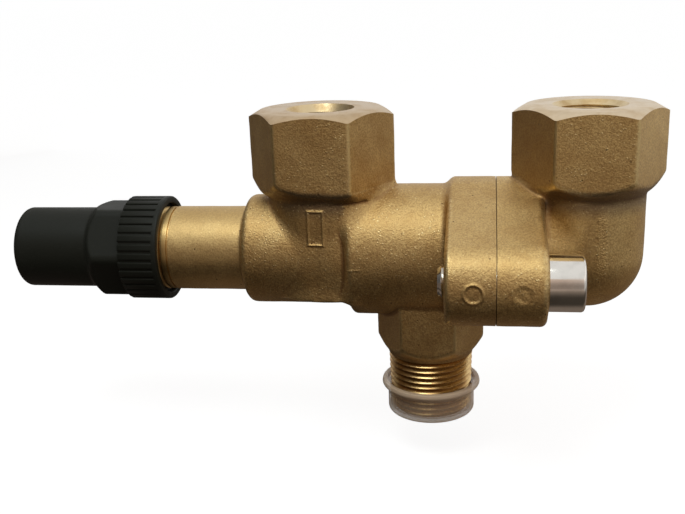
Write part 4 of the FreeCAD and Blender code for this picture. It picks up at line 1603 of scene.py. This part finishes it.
@dataclass
class OutletElbow:
    """The forged elbow: its half of the flange, a round corner and the right outlet."""

    palette: Palette
    port: Port = Port("right_port", 47.5, 11.05, 1.5)
    flange: Flange = Flange()
    rad: float = 17.2
    bore_rad: float = 9.5
    spigot_rad: float = 14.4
    streak_x: float = 50.6
    crotch_fillet: float = 4.0
    flange_fillet: float = 2.4

    def shape(self, x: Array, y: Array, z: Array) -> Array:
        """Return the distance from the forging, before any turning.

        Args:
            x: Places along X.
            y: Places along Y.
            z: Places along Z.

        Returns:
            The distance in millimetres, negative inside.
        """
        up = z - AXIS_Z
        leg = bar(x, np.hypot(y, up), 10, self.port.x, self.rad, 0.3)
        corner = np.sqrt((x - self.port.x) ** 2 + y**2 + up**2) - self.rad
        riser = bar(z, np.hypot(x - self.port.x, y), AXIS_Z, 76, self.rad, 0.3)
        inner = np.clip(((self.port.x - x) + up) / (2 * self.rad), 0.02, 1)
        tube = np.minimum(union(leg, riser, self.crotch_fillet * inner), corner)
        plate_part = self.flange.blank(x, y, up, PARTING_X - 4, FLANGE_RIGHT_X)
        lower = union(plate_part, tube, self.flange_fillet)
        port = self.port.blank(x, y, z)
        return union(lower, port, 0.8 + 1.2 * ramp(x, self.port.x - 6.0, -6.0))

    def grain(self, points: Array, normals: Array) -> Array:
        """Return how deep the blasted grain is at each point: 1 on the ears.

        Args:
            points: One place a row, in millimetres.
            normals: The direction out of the surface at each point.

        Returns:
            A number for each point.
        """
        x, z = points[:, 0], points[:, 2]
        on_top = (x < FLANGE_RIGHT_X + 0.5) & (z > FLANGE_TOP_Z)
        grain = np.where(on_top, 0.45, np.where(x < FLANGE_RIGHT_X, 1.0, 0.6))
        # The streak's deeper grain also brings more painted glints.
        streak = ramp(np.abs(x - self.streak_x), 1.9, -0.8) * ramp(z, 68.0, -2.0) * (points[:, 1] < 0)
        grain = grain + 1.6 * streak * ramp(z, 44.0, 8.0)
        return hexagon_grain(points, normals, grain)

    def build(self) -> list[Piece]:
        """Build the forging and its thread.

        Returns:
            The finished pieces, which ride on the valve.
        """
        mesher = FieldMesher((14.0, -49.0, 27.0), (72.5, 49.0, 101.5))
        forging = mesher.build("forged_elbow", self.shape, DIE_RIPPLE)
        front = -(EAR_Y + self.flange.ear_rad)
        raise_marks(forging, self.shape, [dent_mark((27.4, front, AXIS_Z + 0.3), (3.0, 2.8), 0.3)])
        dress(forging, self.palette.elbow)
        parting = parting_tool(PARTING_X + PARTING_GAP, PARTING_X - 15.4, self.palette.turned_x)
        section = rod(PARTING_X - 11.4, self.port.x + 6, self.bore_rad)
        inner = turning("elbow_bore_tool", section, MAIN, self.palette.turned_x, 96)
        cut(forging, [*self.port.tools(self.palette.right_face, self.palette.bore), parting, inner])
        store_surface(forging, self.shape, self.grain, self.port)
        smooth_by_angle(forging, 32)
        seat, end = PARTING_X - 4.0, PARTING_X + 1.6
        spigot = turning("register_spigot", [
            (seat, self.bore_rad), (seat, SEAT_RAD), (seat + 1, SEAT_RAD), (seat + 1, self.spigot_rad),
            (end, self.spigot_rad), (end, self.bore_rad),
        ], MAIN, self.palette.turned_x, 96)
        thread = self.port.thread(self.palette.bore)
        for piece, slot in ((forging, "forged_brass"), (spigot, "turned_brass"), (thread, "turned_brass")):
            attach(piece, "valve")
        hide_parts("outlet_elbow")
        return [forging, spigot, thread]


@dataclass
class FlangeScrew:
    """A socket head cap screw, head to the right, with its tip through the body's ear."""

    palette: Palette
    name: str
    y: float
    tip_x: float = 4.2
    shank_rad: float = 5.0
    shank_len: float = 30.0
    head_rad: float = 8.0
    head_len: float = 10.0
    socket_flats: float = 8.0
    socket_deep: float = 5.0
    pitch: float = 1.5
    tip_len: float = 4.2
    thread_deep: float = 0.8

    def build(self) -> list[Piece]:
        """Build the screw and the thread on its tip.

        Returns:
            The finished pieces.
        """
        spin = Spin(Axis.X, (self.tip_x, self.y, AXIS_Z))
        under = self.shank_len
        end = self.shank_len + self.head_len
        root = self.shank_rad - self.thread_deep
        screw = turning(self.name, [
            (0, 0), (0, root - 0.6), (0.6, root), (self.tip_len - 0.6, root),
            (self.tip_len, self.shank_rad), (under, self.shank_rad),
            (under, self.head_rad - 0.25), (under + 0.35, self.head_rad),
            (end, self.head_rad, 0.95), (end, 5.2), (end - 0.25, 4.9), (end - 0.25, 0),
        ], spin, self.palette.steel, 128)
        socket_rad = self.socket_flats / math.sqrt(3)
        tool = turning("socket_tool", [
            (end - self.socket_deep - 1.4, 0), (end - self.socket_deep, socket_rad),
            (end + 2, socket_rad), (end + 2, 0),
        ], spin, self.palette.steel, 6)
        cut(screw, [tool])
        smooth_by_angle(screw, 30)
        thread = Thread(
            0.0, self.tip_len, self.shank_rad, self.shank_rad, self.pitch, self.thread_deep,
            low_limit=self.shank_rad - 1.2, around=48,
        ).wind(f"{self.name}_thread", spin, self.palette.steel)
        for piece in (screw, thread):
            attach(piece, "valve")
        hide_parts(self.name)
        return [screw, thread]


@dataclass
class SpindleCap:
    """The moulded cap: a blind tip, a hexagon and a ring with narrow grip grooves."""

    palette: Palette
    tip_x: float = -133.8
    tip_rad: float = 13.1
    hex_left: float = -109.0
    hex_right: float = -96.8
    hex_flats: float = 28.5
    hex_corner: float = 16.0
    blend_len: float = 3.0
    ring_rad: float = 16.8
    mouth_x: float = -84.2
    bore_rad: float = 10.6
    bore_left: float = -131.0
    thread_rad: float = 13.56
    rib_count: int = 36
    groove_wide: float = 0.8
    groove_deep: float = 0.55
    groove_len: float = 11.0

    def shape(self, x: Array, y: Array, z: Array) -> Array:
        """Return the distance from the tip and hexagon.

        Args:
            x: Places along X.
            y: Places along Y.
            z: Places along Z.

        Returns:
            The distance in millimetres, negative inside.
        """
        up = z - AXIS_Z
        across = np.hypot(y, up)
        tip = bar(x, across, self.tip_x, self.hex_right, self.tip_rad, 1.8)
        sides = hexagon(y, up, self.hex_flats, 0.4)
        high = (self.hex_corner, self.hex_left + self.blend_len)
        cone = cone_below(across, x, (self.tip_rad, self.hex_left), high)
        ends = np.maximum(x - self.hex_right - 1.0, self.hex_left - 2.0 - x)
        round_part = np.maximum(across - self.hex_corner, ends)
        hexagon_part = overlap(np.maximum(overlap(sides, cone, 0.25), ends), round_part, 0.4)
        return union(tip, hexagon_part, 0.25)

    def build(self) -> list[Piece]:
        """Build the cap.

        Returns:
            The finished pieces, which ride on the cap.
        """
        mesher = FieldMesher((-136.0, -19.0, 33.0), (-93.0, 19.0, 72.0), 0.42)
        crown = mesher.build("cap_crown", self.shape, 0.0)
        dress(crown, self.palette.cap)
        section = rod(self.bore_left, self.hex_right + 6.8, self.bore_rad)
        hollow = turning("cap_bore_tool", section, MAIN, self.palette.cap, 96)
        cut(crown, [hollow])
        smooth_by_angle(crown, 40)
        floor_rad = self.ring_rad - self.groove_deep
        rim_left = self.hex_right + self.groove_len
        ring = turning("cap_ring", [
            (self.hex_right, self.bore_rad), (self.hex_right, floor_rad, 0.3),
            (rim_left - 0.2, floor_rad), (rim_left, self.ring_rad, 0.12),
            (self.mouth_x, self.ring_rad, 0.5), (self.mouth_x, 14.6, 0.3),
            (self.mouth_x - 2.0, 14.6), (self.mouth_x - 2.0, self.thread_rad),
            (self.hex_right + 0.3, self.thread_rad), (self.hex_right + 0.3, self.bore_rad),
        ], MAIN, self.palette.cap, 180)
        ribs = self._ribs(floor_rad, rim_left)
        for piece in (crown, ring, ribs):
            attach(piece, "cap")
        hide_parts("spindle_cap")
        return [crown, ring, ribs]

    def _rib(self, floor_rad: float, rim_left: float) -> Piece:
        """Return one land between two grooves, at the front of the ring, with softened edges.

        Args:
            floor_rad: The radius at the grooves' floors.
            rim_left: Where the grooves end, at the rim.

        Returns:
            The land's mesh object.
        """
        half = math.pi / self.rib_count - self.groove_wide / 2 / self.ring_rad
        soft = 0.16
        low, high = floor_rad - 0.3, self.ring_rad
        turns = [-half, -half, -half + soft / high, -half / 2, 0, half / 2, half - soft / high, half, half]
        radii = [low, high - soft, high, high, high, high, high, high - soft, low]
        stations = [(self.hex_right, -soft), (self.hex_right + soft, 0.0), (rim_left + 0.3, 0.0)]
        points = []
        for x, drop in stations:
            for turn, radius in zip(turns, radii):
                reach = radius + (drop if radius > low else 0)
                points.append((reach * math.sin(turn), -reach * math.cos(turn), x))
        wide = len(turns)
        faces = [tuple(range(wide)), tuple(reversed(range(2 * wide, 3 * wide)))]
        for start in range(0, 2 * wide, wide):
            for i in range(wide):
                j = (i + 1) % wide
                faces.append((start + i, start + j, start + wide + j, start + wide + i))
        rib = mesh_object("cap_rib", np.array(points), faces)
        face_outwards(rib)
        return rib

    def _ribs(self, floor_rad: float, rim_left: float) -> Piece:
        """Repeat the land round the ring with Geometry Nodes.

        Args:
            floor_rad: The radius at the grooves' floors.
            rim_left: Where the grooves end, at the rim.

        Returns:
            All lands as one mesh object.
        """
        rib = self._rib(floor_rad, rim_left)
        tree = bpy.data.node_groups.new("cap_ribs_nodes", "GeometryNodeTree")
        identifiers = group_sockets(tree, "NodeSocketInt", ["Count"])
        graph = Graph(tree)
        number = graph.outputs("NodeGroupInput")["Count"]
        line = graph.node("GeometryNodePoints", {"Count": number})
        spot = graph.node("GeometryNodeInputIndex")
        turn = graph.combine(0.0, 0.0, (spot + 0.5) / number * (2 * math.pi))
        whole = graph.node("GeometryNodeObjectInfo", {"Object": rib}, "Geometry")
        inputs = {"Points": line, "Instance": whole, "Rotation": turn}
        finish_group(graph, graph.node("GeometryNodeInstanceOnPoints", inputs), self.palette.cap)
        ribs = evaluated("cap_ribs", tree, {identifiers["Count"]: self.rib_count})
        ribs.data.transform(MAIN.matrix())
        bpy.data.objects.remove(rib)
        smooth_by_angle(ribs, 50)
        return ribs


@dataclass
class ThreadProtector:
    """The thin push-on cup over the end of the inlet's thread."""

    palette: Palette
    low: float = -1.3
    floor: float = 1.2
    rad: float = 13.95
    bore: float = 13.27
    lip_rad: float = 15.9
    lip_len: float = 2.6
    height: float = 10.5

    def build(self) -> Piece:
        """Build the cup.

        Returns:
            The finished piece, which rides on the protector.
        """
        top = self.low + self.height
        cup = turning("milky_cup", [
            (self.low + self.floor, 0), (self.low + self.floor, self.bore, 0.8),
            (top - 1.2, self.bore), (top, self.bore + 0.9, 0.4), (top, self.lip_rad - 0.3, 0.5),
            (top - self.lip_len / 2, self.lip_rad, 0.9), (top - self.lip_len, self.rad + 0.7, 1.4),
            (top - self.lip_len - 1.6, self.rad, 1.6), (self.low, self.rad, 1.1), (self.low, 0),
        ], UPRIGHT, self.palette.milky, 128)
        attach(cup, "protector")
        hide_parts("thread_protector")
        return cup


@dataclass
class InnerPieces:
    """The CAD solids that stay as they are, inside the forgings and under the cap."""

    palette: Palette
    nodes: dict[str, Piece]

    def dress(self) -> list[str]:
        """Give each solid that stays its finish.

        Returns:
            Their names.
        """
        groups = {
            "turned_x": ("shutter", "gland_nut", "gland_follower", "packing_washer"),
            "spindle_steel": ("spindle", "thrust_washer", "shutter_clip"),
            "seal": ("seat_seal_left", "seat_seal_right"),
            "packing": ("packing_ring_inner", "packing_ring_middle", "packing_ring_outer"),
            "gasket": ("flange_gasket", "cap_seal"),
        }
        for finish, names in groups.items():
            for name in names:
                dress(self.nodes[name], getattr(self.palette, finish))
        return sorted(name for names in groups.values() for name in names)


@dataclass
class Studio:
    """Camera, pale floor and soft light, as the photograph has them."""

    camera_place: Triple = (17.134, -282.381, 134.168)
    yaw: float = -9.0548
    pitch: float = 16.4675
    roll: float = -2.1367
    lens: float = 48.916
    floor_z: float = -14.6

    def build(self) -> None:
        """Build everything that isn't part of the valve."""
        self._camera()
        self._world()
        self._floor()
        self._card()
        self._lamp("key_light", (-95, -247, 500), (280, 220), 0.7, (0, -10, 55), (0.9, 0.98, 0.98))

    def _camera(self) -> None:
        """Set the camera at the photograph's viewpoint."""
        yaw, pitch, roll = (math.radians(v) for v in (self.yaw, self.pitch, self.roll))
        ahead = Vector((math.sin(yaw) * math.cos(pitch), math.cos(yaw) * math.cos(pitch), -math.sin(pitch)))
        level = Vector((math.cos(yaw), -math.sin(yaw), 0))
        above = level.cross(ahead)
        right = level * math.cos(roll) + above * math.sin(roll)
        up = above * math.cos(roll) - level * math.sin(roll)
        data = bpy.data.cameras.new("camera")
        data.lens = self.lens
        data.sensor_width = 36.0
        data.clip_start, data.clip_end = 0.01, 50.0
        camera = linked("camera", data)
        turn = Matrix((right, up, -ahead)).transposed()
        camera.matrix_world = Matrix.Translation(Vector(self.camera_place) * MM) @ turn.to_4x4()
        bpy.context.scene.camera = camera

    def _world(self) -> None:
        """Light the scene from all round, white where it is seen and dimmer where it only lights."""
        world = bpy.data.worlds.new("studio")
        world.use_nodes = True
        graph = Graph(world.node_tree)
        paths = graph.outputs("ShaderNodeLightPath")
        camera = paths["Is Camera Ray"]
        seen = (camera + paths["Is Glossy Ray"] + paths["Is Transmission Ray"]).clamped()
        strength = camera * 0.15 + seen * 0.5 + 0.35
        inputs = {"Color": (1.0, 1.0, 1.0, 1.0), "Strength": strength}
        light = graph.node("ShaderNodeBackground", inputs)
        graph.node("ShaderNodeOutputWorld", {"Surface": light})
        bpy.context.scene.world = world

    def _floor(self) -> None:
        """Lay a wide floor, pale to the camera and dark to the metal where it lies near the valve."""
        shader = Shader("studio_floor")
        paths = shader.outputs("ShaderNodeLightPath")
        camera = paths["Is Camera Ray"]
        x, y, _ = shader.separate(shader.place)
        far = shader.step(shader.math("SQRT", x * x + y * y), 0.37, 2.1)
        far = far * (shader.step(x, -0.75, 0.6) * 0.6 + 0.4)
        side = shader.step(x, 0.07, 0.5)
        dip = shader.step(x, -0.15, -0.12) * shader.step(x, -0.09, -0.105)
        dip = (dip + shader.step(x, -0.068, -0.056) * shader.step(x, 0.0, -0.03)) * 0.8
        near = shader.step(y, -0.06, -0.022) * (1.0 - dip) * 0.14
        near = near + shader.step(y, -0.1, -0.2) * 0.06 + shader.step(y, -0.1, -0.44) * 0.25 + side * 0.2
        mirrored = (paths["Is Glossy Ray"] + paths["Is Transmission Ray"]).clamped()
        seen = (camera * 0.85 + mirrored * (far * 0.72 + near)).clamped()
        under = shader.blend(shader.step(x, -0.12, 0.06), (0.03, 0.026, 0.022), (0.085, 0.07, 0.056))
        tone = shader.blend(camera, under, (0.42, 0.42, 0.42))
        plain = shader.node("ShaderNodeBsdfDiffuse", {"Color": tone})
        shine = shader.blend((camera + side + far).clamped(), (1.0, 0.78, 0.64), (1.0, 1.0, 1.0))
        glow = shader.node("ShaderNodeEmission", {"Color": shine, "Strength": seen})
        both = shader.node("ShaderNodeAddShader", {0: plain, 1: glow})
        shader.node("ShaderNodeOutputMaterial", {"Surface": both})
        reach = 9000.0
        corners = [(x * reach, y * reach, self.floor_z) for x, y in ((-1, -1), (1, -1), (1, 1), (-1, 1))]
        floor = mesh_object("floor", np.array(corners), [(0, 1, 2, 3)])
        dress(floor, shader.material)

    def _card(self) -> None:
        """Stand a card round the camera's side, dark at the left, which only the metal reflects."""
        shader = Shader("studio_card")
        x, _, z = shader.separate(shader.place)
        right = shader.step(x, 0.12, 0.66)
        left = shader.step(x, -0.1, -0.62)
        tone = shader.blend(right, (0.34, 0.265, 0.22), (0.72, 0.7, 0.69))
        tone = shader.blend(left, tone, (0.12, 0.115, 0.11))
        strength = shader.step(z, 0.1, 0.5) * 1.1 + 0.8
        glow = shader.node("ShaderNodeEmission", {"Color": tone, "Strength": strength})
        shader.node("ShaderNodeOutputMaterial", {"Surface": glow})
        points = []
        steps, radius = 26, 700.0
        for step in range(steps + 1):
            turn = math.radians(-235 + 260 * step / steps)
            top = 480.0 + 320.0 * max(0.0, -math.cos(turn))
            x, y = radius * math.cos(turn), radius * math.sin(turn)
            points += [(x, y, self.floor_z), (x, y, top)]
        faces = [(2 * i, 2 * i + 2, 2 * i + 3, 2 * i + 1) for i in range(steps)]
        card = mesh_object("studio_card", np.array(points), faces)
        dress(card, shader.material)
        card.visible_camera = False
        card.visible_shadow = False

    @staticmethod
    def _lamp(name: str, place: Triple, size: Point, power: float, target: Triple, color: Triple) -> None:
        """Hang a rectangular soft light that faces a point.

        Args:
            name: The light's name.
            place: Where it hangs.
            size: Its width and height.
            power: Its power, in watts.
            target: The point that it faces.
            color: Its colour.
        """
        data = bpy.data.lights.new(name, "AREA")
        data.shape = "RECTANGLE"
        data.size, data.size_y = size[0] * MM, size[1] * MM
        data.energy = power
        data.color = color
        lamp = linked(name, data)
        lamp.location = Vector(place) * MM
        lamp.rotation_euler = (Vector(target) - Vector(place)).to_track_quat("-Z", "Y").to_euler()


def report(pieces: Iterable[Piece]) -> None:
    """Log each finished piece with its count of faces."""
    for piece in pieces:
        LOG.info("%s: %d faces", piece.name, len(piece.data.polygons))


def main() -> None:
    """Build the valve round its frame, then the studio."""
    logging.basicConfig(level=logging.INFO, format="%(message)s")
    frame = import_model()
    bpy.context.scene.view_settings.view_transform = "Standard"
    palette = Palette.mixed()
    report(ValveBody(palette).build())
    report(OutletElbow(palette).build())
    for name, y in (("flange_screw_front", -EAR_Y), ("flange_screw_rear", EAR_Y)):
        report(FlangeScrew(palette, name, y).build())
    report(SpindleCap(palette).build())
    report([ThreadProtector(palette).build()])
    LOG.info("kept solids: %s", ", ".join(InnerPieces(palette, frame["nodes"]).dress()))
    Studio().build()
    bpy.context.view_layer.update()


if __name__ == "__main__":
    main()
